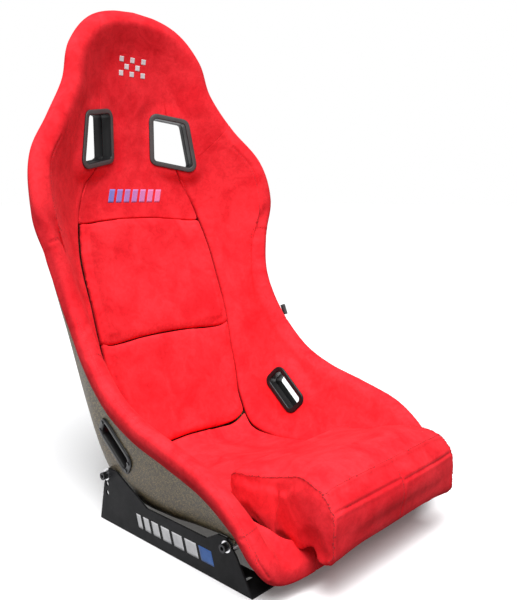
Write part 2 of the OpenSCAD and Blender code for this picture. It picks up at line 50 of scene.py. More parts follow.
# ---- the seat's surface
# The same surface as in the CAD source, in millimetres: sections round the right half,
# from the middle of the front lip to the middle of the head's top.
SECTIONS = np.array([
    [[0, -211, 62], [0, -250, 54], [0, -272, 34]],
    [[0, -206, 62], [85, -250, 54], [100, -272, 34]],
    [[0, -196, 62], [156, -244, 58], [192, -266, 36]],
    [[0, -176, 63], [172, -206, 60], [228, -256, 68]],
    [[0, -146, 62], [174, -166, 52], [240, -228, 118]],
    [[0, -111, 58], [174, -121, 42], [245, -171, 160]],
    [[0, -66, 54], [173, -66, 35], [246, -91, 185]],
    [[0, -6, 45], [170, -6, 25], [245, -11, 205]],
    [[0, 64, 36], [167, 66, 18], [243, 60, 240]],
    [[0, 129, 45], [165, 134, 30], [240, 124, 305]],
    [[0, 174, 95], [163, 176, 90], [240, 168, 385]],
    [[0, 206, 180], [162, 206, 182], [255, 187, 465]],
    [[0, 242, 290], [163, 240, 292], [276, 194, 545]],
    [[0, 284, 400], [165, 282, 402], [264, 214, 622]],
    [[0, 316, 508], [148, 313, 510], [211, 246, 690]],
    [[0, 329, 600], [98, 328, 612], [166, 266, 758]],
    [[0, 329, 680], [82, 324, 730], [143, 276, 826]],
    [[0, 326, 740], [60, 318, 810], [88, 287, 878]],
    [[0, 324, 770], [0, 318, 830], [0, 294, 896]],
], float)
LAST = len(SECTIONS) - 1
FLIP = np.array([-1.0, 1, 1])
LIP_END, BACK_START, PAD_SPLIT, PAD_TOP, HEAD_START = 1.3, 9.75, 11.9, 13.97, 14.9
PAD_SIDE, WING_FROM = 0.553, 0.57
FOOT_OUT, FOOT_DOWN = np.array([22.0, -8, 0]), np.array([0.0, 0, -8])
SHELL_T, WING_PAD, COVER_T, ROLL_BACK, CLEAR = 5.0, 23.0, 2.0, 5.0, 0.4
COVER_TUCK, TUCK_CLEAR, SHORT_PULL, STEP = 24.0, 1.1, 60.0, 0.01
HEAD_SIDE, HEAD_FROM, HEAD_CLEAR = 0.54, 0.56, 1.3


def ramp(x, low, high):
    return np.clip((np.asarray(x, float) - low) / (high - low), 0, 1)


def section_row(j):
    j = np.asarray(j)
    inside = np.clip(np.where(j < 0, -j, np.where(j > LAST, 2 * LAST - j, j)), 0, LAST)
    rows = SECTIONS[inside].copy()
    rows[(j < 0) | (j > LAST)] *= FLIP
    return rows


def section(u):
    i = np.clip(np.floor(u).astype(int), -2, LAST - 1)
    f = (u - i)[:, None, None]
    a, b, c, d = (section_row(i + k) for k in (-1, 0, 1, 2))
    return 0.5 * (2 * b + (c - a) * f + (2 * a - 5 * b + 4 * c - d) * f ** 2
                  + (3 * (b - c) + d - a) * f ** 3)


def controls(u, shell):
    s = section(u)
    k = shell * ramp(u, 14.5, 12)
    b = s[:, 1] + (k * ramp(u, 3.5, 6.5))[:, None] * FOOT_OUT
    b = b + (k * ramp(u, 1.5, 3))[:, None] * FOOT_DOWN
    swell = 0.12 * ramp(np.abs(u), 0, 2) * ramp(u, 17, 15) * (s[:, 2, 0] - b[:, 0])
    near = b + 0.45 * (s[:, 2] - b)
    near[:, 0] += swell
    return np.stack([s[:, 0], (s[:, 0] + b) / 2, b, near, s[:, 2]], 1)


def on_rib(p, v):
    low = v < 0.5
    t = np.where(low, 2 * v, 2 - 2 * v)[:, None]
    a, b, c, d = (np.where(low[:, None], p[:, i], p[:, j]) for i, j in ((0, 4), (1, 3), (2, 2), (3, 1)))
    return ((1 - t) ** 3 * a + (12 * t - 18 * t ** 2 + 7 * t ** 3) / 4 * b
            + (1.5 * t ** 2 - t ** 3) * c + t ** 3 / 4 * d)


def unit(a):
    return a / (np.linalg.norm(a, axis=1)[:, None] + 1e-12)


def inward(u, v, s):
    """Direction into the seat."""
    w = np.maximum(v, 3 * STEP)
    along = on_rib(controls(u + STEP, s), w) - on_rib(controls(u - STEP, s), w)
    p = controls(u, s)
    raw = np.cross(on_rib(p, w + STEP) - on_rib(p, w - STEP), along)
    raw[(v == 0) | (u == 0) | (u == LAST), 0] = 0
    return unit(raw)


def rim_run(u, p):
    """For rows u with controls p: the ribs' pull at the rim, the run of the rim, and the
    mm that one whole step of v would cover there."""
    one = np.ones_like(u)
    pull = p[:, 4] - p[:, 3]
    rim = on_rib(controls(u + STEP, 0 * one), one) - on_rib(controls(u - STEP, 0 * one), one)
    slant = np.maximum(0.4, np.linalg.norm(np.cross(unit(pull), unit(rim)), axis=1))
    return pull, rim, 6 * np.maximum(np.linalg.norm(pull, axis=1), SHORT_PULL) * slant


def place(u, v, a, n, s):
    """Points of the surface in metres: v across (negative is the left half), a mm back
    from there, n mm into the seat, s = 1 for the shell's own surface."""
    u, v, a, n, s = (x.ravel().astype(float) for x in np.broadcast_arrays(u, v, a, n, s))
    p = controls(u, s)
    pull, rim, per_v = rim_run(u, p)
    into_rim = inward(u, np.ones_like(u), s)
    off = unit(np.cross(into_rim, rim))
    off *= np.where((off * pull).sum(1) < 0, -1.0, 1.0)[:, None]
    side = np.abs(v) - np.maximum(0, a) / per_v
    at_rim = (np.abs(v) == 1) & (a <= 0)
    into = np.where(at_rim[:, None], into_rim, inward(u, side, s))
    out = on_rib(p, side) + n[:, None] * into + np.maximum(0, -a)[:, None] * off
    out[v < 0] *= FLIP
    return out * MM


def wing_level(u, v):
    """The row a wing's points lie on: its end at the shoulder sweeps down to the rim."""
    return u - 0.8 * ramp(u, 13, HEAD_START) * ramp(v, 0.6, 1)


def level(u, v):
    """The row a pad's points lie on: its seams bow."""
    return u - 1.1 * v * v * ramp(u, 8, 10) + 1.2 * v * v * ramp(u, 7, 5)


# ---- mesh helpers
def smoothstep(x, low, high):
    t = ramp(x, low, high)
    return t * t * (3 - 2 * t)


def through_points(stack, params):
    """Smooth curve through stack[0], stack[1], ... (each an array of points), at each
    parameter: centripetal-like Catmull-Rom, returned as [parameter][point]."""
    out = []
    last = len(stack) - 1
    for t in params:
        i = min(int(t), last - 1)
        f = t - i
        b, c = stack[i], stack[i + 1]
        a = stack[i - 1] if i > 0 else 2 * b - c
        d = stack[i + 2] if i + 2 <= last else 2 * c - b
        cb = np.linalg.norm(c - b, axis=1, keepdims=True) + 1e-9
        ba = np.linalg.norm(b - a, axis=1, keepdims=True) + 1e-9
        dc = np.linalg.norm(d - c, axis=1, keepdims=True) + 1e-9
        m1 = ((c - b) / cb * ba + (b - a) / ba * cb) / (ba + cb) * cb
        m2 = ((d - c) / dc * cb + (c - b) / cb * dc) / (cb + dc) * cb
        h = f * f
        g = h * f
        out.append((2 * g - 3 * h + 1) * b + (g - 2 * h + f) * m1 + (3 * h - 2 * g) * c + (g - h) * m2)
    return np.array(out)


def along_path(points, params):
    """The same curve through single points."""
    return through_points([p[None] for p in points], params)[:, 0]


def run_length(points):
    """How far along a polyline each of its points lies."""
    return np.concatenate([[0], np.cumsum(np.linalg.norm(np.diff(points, axis=0), axis=1))])


def spread(points, count):
    """count evenly spaced points along a polyline."""
    along = run_length(points)
    wanted = np.linspace(0, along[-1], count)
    return np.column_stack([np.interp(wanted, along, points[:, k]) for k in range(3)])


def grid_faces(rows, cols, start=0, loop=False, ring=False):
    """Faces of a grid; loop joins its last column to its first, and ring its last row."""
    faces = []
    for i in range(rows if ring else rows - 1):
        here, below = start + i * cols, start + (i + 1) % rows * cols
        for j in range(cols if loop else cols - 1):
            k = (j + 1) % cols
            faces.append((here + j, here + k, below + k, below + j))
    return faces


def shade_smooth(mesh):
    mesh.polygons.foreach_set("use_smooth", [True] * len(mesh.polygons))


def add_object(name, data):
    obj = bpy.data.objects.new(name, data)
    scene.collection.objects.link(obj)
    return obj


def configure(thing, **settings):
    for key, value in settings.items():
        setattr(thing, key, value)
    return thing


def modify(obj, name, kind, **settings):
    return configure(obj.modifiers.new(name, kind), **settings)


def make(name, verts, faces, material, weld=None):
    mesh = bpy.data.meshes.new(name)
    mesh.from_pydata([tuple(map(float, v)) for v in verts], [], [tuple(f) for f in faces])
    mesh.update()
    obj = add_object(name, mesh)
    bm = bmesh.new()
    bm.from_mesh(mesh)
    if weld:
        bmesh.ops.remove_doubles(bm, verts=bm.verts, dist=weld)
        bmesh.ops.dissolve_degenerate(bm, edges=bm.edges, dist=weld)
    bmesh.ops.recalc_face_normals(bm, faces=bm.faces)
    bm.to_mesh(mesh)
    bm.free()
    shade_smooth(mesh)
    if material:
        mesh.materials.append(material)
    return obj


def zipped(ring, start, front):
    """Triangles that close a ring of points whose first `front` points face the others,
    which run back the other way."""
    near = list(range(front))
    far = list(range(len(ring) - 1, front - 1, -1))
    a, b = run_length(ring[near]), run_length(ring[far])
    a, b = a / a[-1], b / b[-1]
    i = j = 0
    faces = []
    while i < len(near) - 1 or j < len(far) - 1:
        if j == len(far) - 1 or i < len(near) - 1 and a[i + 1] <= b[j + 1]:
            faces.append((start + near[i], start + near[i + 1], start + far[j]))
            i += 1
        else:
            faces.append((start + near[i], start + far[j + 1], start + far[j]))
            j += 1
    return faces


def tube(name, loops, material, front, weld=None, folded=False):
    """A closed solid through closed cross-sections, loops[row][point], whose first
    `front` points face the rest. folded: the last row meets itself, so it has no end."""
    rows, cols = loops.shape[:2]
    faces = grid_faces(rows, cols, loop=True) + zipped(loops[0], 0, front)
    if not folded:
        faces += zipped(loops[-1], (rows - 1) * cols, front)
    return make(name, loops.reshape(-1, 3), faces, material, weld=weld)


def apply_modifiers(obj):
    graph = bpy.context.evaluated_depsgraph_get()
    mesh = bpy.data.meshes.new_from_object(obj.evaluated_get(graph))
    old = obj.data
    obj.modifiers.clear()
    obj.data = mesh
    bpy.data.meshes.remove(old)


def subdivide(obj):
    modify(obj, "subdivide", "SUBSURF", levels=1, render_levels=1)
    apply_modifiers(obj)


def cut(obj, cutters):
    for c in cutters:
        modify(obj, "cut", "BOOLEAN", operation="DIFFERENCE", object=c, solver="MANIFOLD")
    apply_modifiers(obj)


def sharpen(obj, degrees):
    """Smooth shading, broken where faces meet at more than degrees."""
    bm = bmesh.new()
    bm.from_mesh(obj.data)
    for e in bm.edges:
        e.smooth = len(e.link_faces) == 2 and e.calc_face_angle(0) < math.radians(degrees)
    for f in bm.faces:
        f.smooth = True
    bm.to_mesh(obj.data)
    bm.free()


def read_all(collection, key):
    out = np.zeros(len(collection) * 3)
    collection.foreach_get(key, out)
    return out.reshape(-1, 3)


def verts_of(obj):
    return read_all(obj.data.vertices, "co")


def normals_of(obj):
    return read_all(obj.data.vertex_normals, "vector")


def set_verts(obj, co):
    obj.data.vertices.foreach_set("co", co.ravel())
    obj.data.update()


def mirrored(obj, name):
    mesh = obj.data.copy()
    mesh.name = name
    mesh.transform(Matrix.Diagonal((-1, 1, 1, 1)))
    mesh.flip_normals()
    return add_object(name, mesh)


def bumps(p):
    """Smooth fixed noise from sines, about -1 to 1, at points p in metres."""
    x, y, z = (p / 0.055).T
    a = np.sin(1.7 * x + 2.1 * y + 0.6 * z + 1) * np.cos(1.3 * z - 0.8 * x + 2)
    b = np.sin(2.9 * y - 1.9 * z + 1.1 * x + 3) * np.cos(2.3 * x + 1.7 * z - 1)
    c = np.sin(4.1 * z + 3.7 * y - 2.3 * x + 5)
    return 0.5 * a + 0.35 * b + 0.15 * c


# ---- harness slots
CORNER_R, FLANGE, PRESS_BLEND = 7.0, 10.0, 30
CUT_GROW, CUT_FROM, CUT_TO = 3.0, -62.0, 60.0


def turned(*steps):
    """One rotation from (degrees, axis) steps, the last applied first."""
    out = Matrix.Identity(3)
    for degrees, axis in steps:
        out = out @ Matrix.Rotation(math.radians(degrees), 3, axis)
    return np.array(out)


SHOULDER = {
    "corners": np.array([[-30, -32], [38, -44], [24, 31], [-30, 39]], float),
    "at": np.array([89.0, 290, 666]),
    "turn": turned((-21, "Z"), (90, "X")),
    "face": 2.0, "back": -34.0,
}
LAP = {
    "corners": np.array([[-32, -9], [32, -9], [32, 9], [-32, 9]], float),
    "at": np.array([190.0, 58, 160]),
    "turn": turned((8, "Z"), (12, "Y"), (-49, "X"), (-90, "Y")),
    "face": 3.0, "back": -39.5,
}


def slot_local(slot, points):
    """Points in metres, as millimetres in the right slot's own plane."""
    p = points * 1000
    p[:, 0] = np.abs(p[:, 0])
    return (p - slot["at"]) @ slot["turn"]


def slot_world(slot, local):
    return (local @ slot["turn"].T + slot["at"]) * MM


def outline_distance(slot, xy):
    """Distance outside the slot's rounded outline, negative inside."""
    c = slot["corners"]
    edge = np.full(len(xy), np.inf)
    inside = np.ones(len(xy), bool)
    for i in range(len(c)):
        a, b = c[i], c[(i + 1) % len(c)]
        ab = b - a
        t = np.clip(((xy - a) @ ab) / (ab @ ab), 0, 1)
        edge = np.minimum(edge, np.linalg.norm(xy - a - t[:, None] * ab, axis=1))
        inside &= (ab[0] * (xy[:, 1] - a[1]) - ab[1] * (xy[:, 0] - a[0])) >= 0
    return np.where(inside, -edge, edge) - CORNER_R


def press(slot, points, target, facing=None):
    """Brings the surface round a slot to its flange's plane. facing holds the surface's
    normals, so that only its near side moves."""
    local = slot_local(slot, points)
    d = outline_distance(slot, local[:, :2])
    weight = 1 - smoothstep(d, FLANGE, FLANGE + PRESS_BLEND)
    weight = weight * (1 - smoothstep(np.abs(local[:, 2] - target), 40, 60))
    if facing is not None:
        n = np.column_stack([np.where(points[:, 0] < 0, -facing[:, 0], facing[:, 0]), facing[:, 1:]])
        weight = weight * smoothstep((n @ slot["turn"])[:, 2], 0.05, 0.4)
    local[:, 2] += weight * (target - local[:, 2])
    out = slot_world(slot, local)
    out[points[:, 0] < 0, 0] *= -1
    return out


def outline(slot, grow, arc=7, straight=5):
    """Points round the slot's outline, grown by grow millimetres: arc of them on each
    corner and straight steps between."""
    c = slot["corners"]
    n = len(c)
    centre = c.mean(0)
    corner_arcs = []
    for i in range(n):
        before, after = c[i] - c[i - 1], c[(i + 1) % n] - c[i]
        a0 = math.atan2(-before[0], before[1])
        a1 = math.atan2(-after[0], after[1])
        if a1 < a0:
            a1 += 2 * math.pi
        corner_arcs.append([c[i] + (CORNER_R + grow) * np.array([math.cos(a), math.sin(a)])
                            for a in np.linspace(a0, a1, arc)])
    out = []
    for i in range(n):
        out += corner_arcs[i]
        start, end = corner_arcs[i][-1], corner_arcs[(i + 1) % n][0]
        out += [start + (end - start) * k / straight for k in range(1, straight)]
    return np.array(out)


def flat_ring(slot, xy, z):
    return slot_world(slot, np.column_stack([xy, np.full(len(xy), z)]))


def slot_ring(slot, profile):
    """A ring round the slot through (grow, z) pairs, which close on themselves."""
    rows = np.array([flat_ring(slot, outline(slot, grow), z) for grow, z in profile])
    return rows.reshape(-1, 3), grid_faces(*rows.shape[:2], loop=True, ring=True)


def slot_cutter(slot, side):
    """A plug through a slot's opening; side is -1 for the left one."""
    xy = outline(slot, CUT_GROW, 9, 4)
    rows = np.array([flat_ring(slot, xy, z) for z in (CUT_FROM, CUT_TO)]) * (side, 1, 1)
    count = len(xy)
    faces = grid_faces(2, count, loop=True)
    faces += [tuple(range(count)), tuple(range(2 * count - 1, count - 1, -1))]
    obj = make(f"cutter_{side}", rows.reshape(-1, 3), faces, None)
    return obj


# ---- materials
class Nodes:
    """Short ways to write a material's nodes."""

    def __init__(self, name, colour, roughness, **sockets):
        self.material = bpy.data.materials.new(name)
        self.material.use_nodes = True
        self.material.diffuse_color = (*colour, 1)
        self.tree = self.material.node_tree
        self.shader = self.tree.nodes["Principled BSDF"]
        self.fill(self.shader, Base_Color=(*colour, 1), Roughness=roughness, **sockets)
        self.place = self.node("TexCoord").outputs["Object"]

    def link(self, a, b):
        self.tree.links.new(a, b)

    def fill(self, node, **values):
        """Sets a node's inputs, each to a constant or from another node's output."""
        for key, value in values.items():
            socket = node.inputs[key.replace("_", " ")]
            if isinstance(value, bpy.types.NodeSocket):
                self.link(value, socket)
            else:
                socket.default_value = value
        return node

    def node(self, kind, **values):
        return self.fill(self.tree.nodes.new("ShaderNode" + kind), **values)

    def noise(self, scale, detail=3, rough=0.55, warp=0.0, at=None):
        return self.node("TexNoise", Vector=at or self.place, Scale=scale, Detail=detail,
                         Roughness=rough, Distortion=warp).outputs["Fac"]

    def cells(self, scale, output="Color"):
        return self.node("TexVoronoi", Vector=self.place, Scale=scale).outputs[output]

    def stretched(self, x, y, z):
        return self.node("Mapping", Vector=self.place, Scale=(x, y, z)).outputs["Vector"]

    def waves(self, scale, direction):
        n = self.node("TexWave", Vector=self.place, Scale=scale)
        n.bands_direction = direction
        return n.outputs["Fac"]

    def math(self, kind, a, b):
        n = self.node("Math")
        n.operation = kind
        for socket, x in zip(n.inputs, (a, b)):
            if isinstance(x, (int, float)):
                socket.default_value = x
            else:
                self.link(x, socket)
        return n.outputs[0]

    def fade(self, source, stops):
        """Colour or value ramp: stops are (position, colour)."""
        n = self.node("ValToRGB", Fac=source)
        points = n.color_ramp.elements
        while len(points) < len(stops):
            points.new(0.5)
        for point, (at, colour) in zip(points, stops):
            point.position = at
            point.color = (*colour, 1)
        return n.outputs["Color"]

    def mix(self, share, a, b, kind="MIX"):
        n = self.node("Mix")
        n.data_type = "RGBA"
        n.blend_type = kind
        n.inputs[0].default_value = share
        self.link(a, n.inputs[6])
        self.link(b, n.inputs[7])
        return n.outputs[2]

    def colour(self, output):
        self.fill(self.shader, Base_Color=output)

    def rough(self, source, low, high):
        spread_out = self.node("MapRange", Value=source, To_Min=low, To_Max=high)
        self.fill(self.shader, Roughness=spread_out.outputs["Result"])

    def bump(self, height, distance, strength=1.0):
        """Adds fine relief, on top of any already there."""
        n = self.node("Bump", Height=height, Distance=distance, Strength=strength)
        normal = self.shader.inputs["Normal"]
        if normal.links:
            self.link(normal.links[0].from_socket, n.inputs["Normal"])
        self.link(n.outputs["Normal"], normal)


def suede():
    """Microsuede: brushed patches of nap, mottling and a fine fibre grain."""
    m = Nodes("red_microsuede", (0.84, 0.024, 0.038), 0.9, Sheen_Weight=0.10,
              Sheen_Roughness=0.4, Sheen_Tint=(1.0, 0.25, 0.27, 1), Specular_IOR_Level=0.08)
    brushed = m.fade(m.noise(17, 3, 0.6, 0.7),
                     [(0.34, (0.78, 0.017, 0.027)), (0.62, (0.94, 0.034, 0.047))])
    mottle = m.fade(m.noise(85, 5, 0.7, 0.9), [(0.34, (0.80, 0.62, 0.62)), (0.58, (1, 1, 1))])
    fibre = m.fade(m.noise(900, 2, 0.7), [(0.25, (0.74, 0.72, 0.72)), (0.75, (1, 1, 1))])
    nap = m.mix(0.7, brushed, mottle, "MULTIPLY")
    m.colour(m.mix(0.6, nap, fibre, "MULTIPLY"))
    m.rough(m.noise(60, 3), 0.78, 0.97)
    m.bump(m.noise(1100, 2, 0.7), 0.00035, 0.6)
    m.bump(m.noise(120, 4, 0.65, 0.4), 0.0006, 0.35)
    return m.material


def flake():
    """Brown gelcoat full of gold flecks, under a dulled clear coat."""
    m = Nodes("shell_metal_flake", (0.085, 0.072, 0.048), 0.5, Metallic=0.25,
              Specular_IOR_Level=0.2, Coat_Weight=0.12, Coat_Roughness=0.3)
    stops = [(0.25, (0.012, 0.009, 0.006)), (0.55, (0.062, 0.046, 0.028)),
             (0.85, (0.46, 0.36, 0.20))]
    coarse, fine = m.fade(m.cells(600), stops), m.fade(m.cells(1400), stops)
    flecks = m.mix(0.4, coarse, fine)
    clouds = m.fade(m.noise(9, 3), [(0.3, (0.75, 0.75, 0.75)), (0.7, (1, 1, 1))])
    m.colour(m.mix(0.6, flecks, clouds, "MULTIPLY"))
    m.rough(m.cells(600), 0.38, 0.65)
    m.bump(m.cells(1500, "Distance"), 0.00012, 0.35)
    return m.material


def powder_coat():
    """Satin black powder coat with a fine orange peel and dulled edges."""
    m = Nodes("black_powder_coat", (0.004, 0.004, 0.0045), 0.5, Specular_IOR_Level=0.07)
    m.colour(m.fade(m.noise(30, 5), [(0.3, (0.011, 0.011, 0.012)), (0.75, (0.024, 0.024, 0.026))]))
    m.rough(m.noise(70, 4), 0.34, 0.56)
    m.bump(m.noise(750, 2), 0.00016, 0.5)
    return m.material


def plastic(name, colour, low, high):
    """Moulded plastic with a fine spark-eroded grain and rubbed patches."""
    m = Nodes(name, colour, low, Specular_IOR_Level=0.3)
    dark = tuple(c * 0.72 for c in colour)
    m.colour(m.fade(m.noise(35, 4), [(0.3, dark), (0.7, colour)]))
    m.rough(m.noise(45, 3), low, high)
    m.bump(m.noise(1500, 2), 0.00012, 0.5)
    return m.material


def metal(name, colour, low, high, metallic=1.0):
    """Turned and plated steel with fine marks."""
    m = Nodes(name, colour, low, Metallic=metallic)
    dark = tuple(c * 0.7 for c in colour)
    marks = m.noise(220, 4, 0.6, 0, m.stretched(1, 6, 6))
    m.colour(m.fade(marks, [(0.3, dark), (0.7, colour)]))
    m.rough(marks, low, high)
    m.bump(m.noise(900, 2), 0.00005, 0.4)
    return m.material


def webbing():
    """Black woven webbing."""
    m = Nodes("black_webbing", (0.02, 0.02, 0.022), 0.8, Sheen_Weight=0.3)
    weave = m.math("MULTIPLY", m.waves(420, "Y"), m.waves(420, "Z"))
    m.colour(m.fade(weave, [(0.2, (0.010, 0.010, 0.011)), (0.8, (0.045, 0.045, 0.05))]))
    m.bump(weave, 0.0004, 0.8)
    return m.material


def strip_cloth():
    """Hook-and-loop tape: tight fuzzy rows."""
    m = Nodes("hook_and_loop_tape", (0.03, 0.03, 0.032), 0.95, Sheen_Weight=0.6)
    fuzz = m.noise(1300, 3, 0.8)
    m.colour(m.fade(fuzz, [(0.35, (0.008, 0.008, 0.009)), (0.7, (0.07, 0.07, 0.075))]))
    m.bump(fuzz, 0.0008, 1.0)
    return m.material


def thread():
    """Twisted sewing thread."""
    m = Nodes("red_thread", (0.42, 0.011, 0.018), 0.75)
    twist = m.noise(1500, 1, 0.5, 0, m.stretched(1, 1, 3))
    m.colour(m.fade(twist, [(0.35, (0.30, 0.007, 0.012)), (0.7, (0.50, 0.014, 0.022))]))
    m.bump(twist, 0.0002, 0.8)
    return m.material


def print_ink(name, low, high, across=0.0):
    """Printed or stitched colour that keeps the cloth's grain. It runs from low to high in
    patches, or with across from left to right, over that many metres to each side."""
    m = Nodes(name, high, 0.6, Sheen_Weight=0.15)
    grain = m.fade(m.noise(900, 2, 0.7), [(0.25, (0.8, 0.8, 0.8)), (0.75, (1, 1, 1))])
    if across:
        split = m.tree.nodes.new("ShaderNodeSeparateXYZ")
        m.link(m.place, split.inputs[0])
        share = m.math("MULTIPLY", m.math("SUBTRACT", split.outputs[0], -across), 0.5 / across)
        shade = m.fade(share, [(0.1, low), (0.9, high)])
    else:
        shade = m.fade(m.noise(60, 3), [(0.3, low), (0.7, high)])
    m.colour(m.mix(0.5, shade, grain, "MULTIPLY"))
    m.rough(m.noise(300, 3), 0.5, 0.75)
    m.bump(m.noise(1100, 2, 0.7), 0.0002, 0.5)
    return m.material


SUEDE, FLAKE, POWDER, THREAD = suede(), flake(), powder_coat(), thread()
FACE_PLASTIC = plastic("grey_moulded_plastic", (0.075, 0.072, 0.072), 0.42, 0.6)
DARK_PLASTIC = plastic("black_moulded_plastic", (0.012, 0.012, 0.013), 0.30, 0.5)
ZINC = metal("zinc_plated_steel", (0.72, 0.72, 0.74), 0.16, 0.38)
BLACK_STEEL = metal("black_oxide_steel", (0.035, 0.035, 0.038), 0.28, 0.46, 0.8)
WEBBING, TAPE = webbing(), strip_cloth()


# ---- shell
WELD, PRESS_SINK = 0.00003, 0.4


def other_side(chain):
    return [(-c[0],) + tuple(c[1:]) for c in reversed(chain)]


def both_sides(chain):
    return other_side(chain) + [c for c in chain if np.any(c[0])]


def loft(us, chain, at, per=1):
    """Points [row][column] through a chain of places (v, a, n, s), each a number or an
    array, with per columns from one place to the next."""
    stack = [place(at(us, np.abs(np.broadcast_to(c[0], us.shape))), *c) for c in chain]
    if per > 1:
        last = len(stack) - 1
        stack = through_points(stack, np.linspace(0, last, last * per + 1))
    return np.transpose(np.array(stack), (1, 0, 2))


def plain(u, v):
    return u


def build_shell():
    us = np.linspace(0, LAST, 181)
    vs = np.concatenate([np.linspace(0, 0.57, 21), np.linspace(0.57, 0.8, 9)[1:]])
    backs = (72, 58, 46, 36, 28, 20, 12, 5, 1.5, 0)
    chain = both_sides([(v, 0, 0, 1) for v in vs] + [(1, a, 0, 1) for a in backs])
    inner = loft(us, chain, plain)
    outer = loft(us, [(c[0], c[1], -SHELL_T, 1) for c in chain], plain).reshape(-1, 3)
    for slot in (SHOULDER, LAP):
        outer = press(slot, outer, slot["back"] + PRESS_SINK)
    rows, cols = inner.shape[:2]
    count = rows * cols
    faces = grid_faces(rows, cols) + [f[::-1] for f in grid_faces(rows, cols, count)]
    for j in (0, cols - 1):
        for i in range(j, count - cols, cols):
            faces.append((i, i + cols, count + i + cols, count + i))
    verts = np.concatenate([inner.reshape(-1, 3), outer])
    return make("flake_shell", verts, faces, FLAKE, weld=WELD)


# ---- fixed trim
END_R, LIP_END_R, LIP_CLEAR = 3, 4, 0.8
FACE_EDGE = 24
WING_LOW, WING_HIGH = LIP_END + 0.005, HEAD_START + 0.045
WAIST, WAIST_SPAN, RELAX_ROUNDS = 11.3, 1.0, 24


def round_off(distance, radius):
    """How far a surface drops, in mm, at a distance from its rounded edge."""
    t = 1 - ramp(distance, 0, radius)
    return radius * (1 - np.sqrt(1 - t * t))


def with_ends(low, high, count, per_mm):
    """count rows from low to high, with more of them where the ends round off."""
    near = np.array([0.25, 0.8, 1.6, 2.8, 4.4, 6.4]) * per_mm
    middle = np.linspace(low, high, count)[1:-1]
    middle = middle[(middle > low + near[-1] * 1.2) & (middle < high - near[-1] * 1.2)]
    return np.concatenate([[low], low + near, middle, high - near[::-1], [high]])


def wing_depth(u):
    return WING_PAD * (0.55 + 0.45 * ramp(u, LIP_END, 2.8))


def face_columns(start, us, at, n, shares):
    """Places from v = start out to FACE_EDGE mm short of the rim, in order however short
    the wing is there."""
    rows = at(us, np.full_like(us, 0.85))
    end = 1 - FACE_EDGE / rim_run(rows, controls(rows, np.zeros_like(rows)))[2]
    return [(start + (end - start) * k, 0, n + smoothstep(k, 0.4, 1), 0) for k in shares]


def rim_places(n, d):
    """The trim round the rim, to the tucked edge behind."""
    return [(1, 5, n, 0), (1, -7 + 0.7 * d, 0.6 * n, 0),
            (1, -12 + d, 3, 0), (1, -9 + 0.7 * d, -6 + 0.7 * d, 0),
            (1, 0, -SHELL_T - ROLL_BACK + d, 1), (1, COVER_TUCK, -SHELL_T - TUCK_CLEAR - COVER_T + d, 1)]


def back_places(first, off):
    """Back along the shell from the tucked edge to the piece's inner edge."""
    return [(1, COVER_TUCK, -SHELL_T - TUCK_CLEAR, 1), (1, 2, -SHELL_T - 1.2, 1), (1, -off - 0.6, -3, 1),
            (1, -off - 0.6, -1, 1), (1, -off, off, 1), (1, 28, off, 1), (1, 58, off, 1),
            (0.8, 0, off, 1)] + first


def spaced(front, columns):
    """The same curves with their points spread evenly, keeping each row's ends."""
    return np.array([spread(row, columns) for row in front])


def relax(grid, strength):
    """Evens out the face of the trim, each row as strongly as given."""
    columns = np.arange(1, grid.shape[1] - 1)
    weight = strength[1:-1, None, None] * smoothstep(-columns, -58, -44)[None, :, None]
    weight = weight * smoothstep(columns, 4, 12)[None, :, None]
    for _ in range(RELAX_ROUNDS):
        inner = grid[1:-1, 1:-1]
        around = (grid[:-2, 1:-1] + grid[2:, 1:-1] + grid[1:-1, :-2] + grid[1:-1, 2:]) / 4
        grid[1:-1, 1:-1] = inner + weight * 0.6 * (around - inner)


def wing_solid():
    per_mm = 1 / 82
    us = with_ends(WING_LOW, WING_HIGH, 176, per_mm)
    d = round_off((us - us[0]) / per_mm, END_R) + round_off((us[-1] - us) / per_mm, END_R)
    n = wing_depth(us) - d
    start = 0.562 - 0.013 * smoothstep(us, 13.93, 14.05)
    inner_edge = ((0, 13), (0, 6), (0.004, 2.2), (0.016, 0))
    chain = [(start + dv, 0, n - dn, 0) for dv, dn in inner_edge]
    chain += face_columns(start + 0.016, us, wing_level, n, (0.2, 0.4, 0.6, 0.8, 1.0))
    front = spaced(loft(us, chain + rim_places(n, d), wing_level, 8), 74)
    relax(front, np.exp(-((us - WAIST) / WAIST_SPAN) ** 2))
    behind = back_places([(0.68, 0, CLEAR, 1), (start + 0.002, 0, CLEAR, 1)], CLEAR)
    back = loft(us, behind, wing_level)
    return tube("right_bolster", np.concatenate([front, back], 1), SUEDE, front.shape[1])


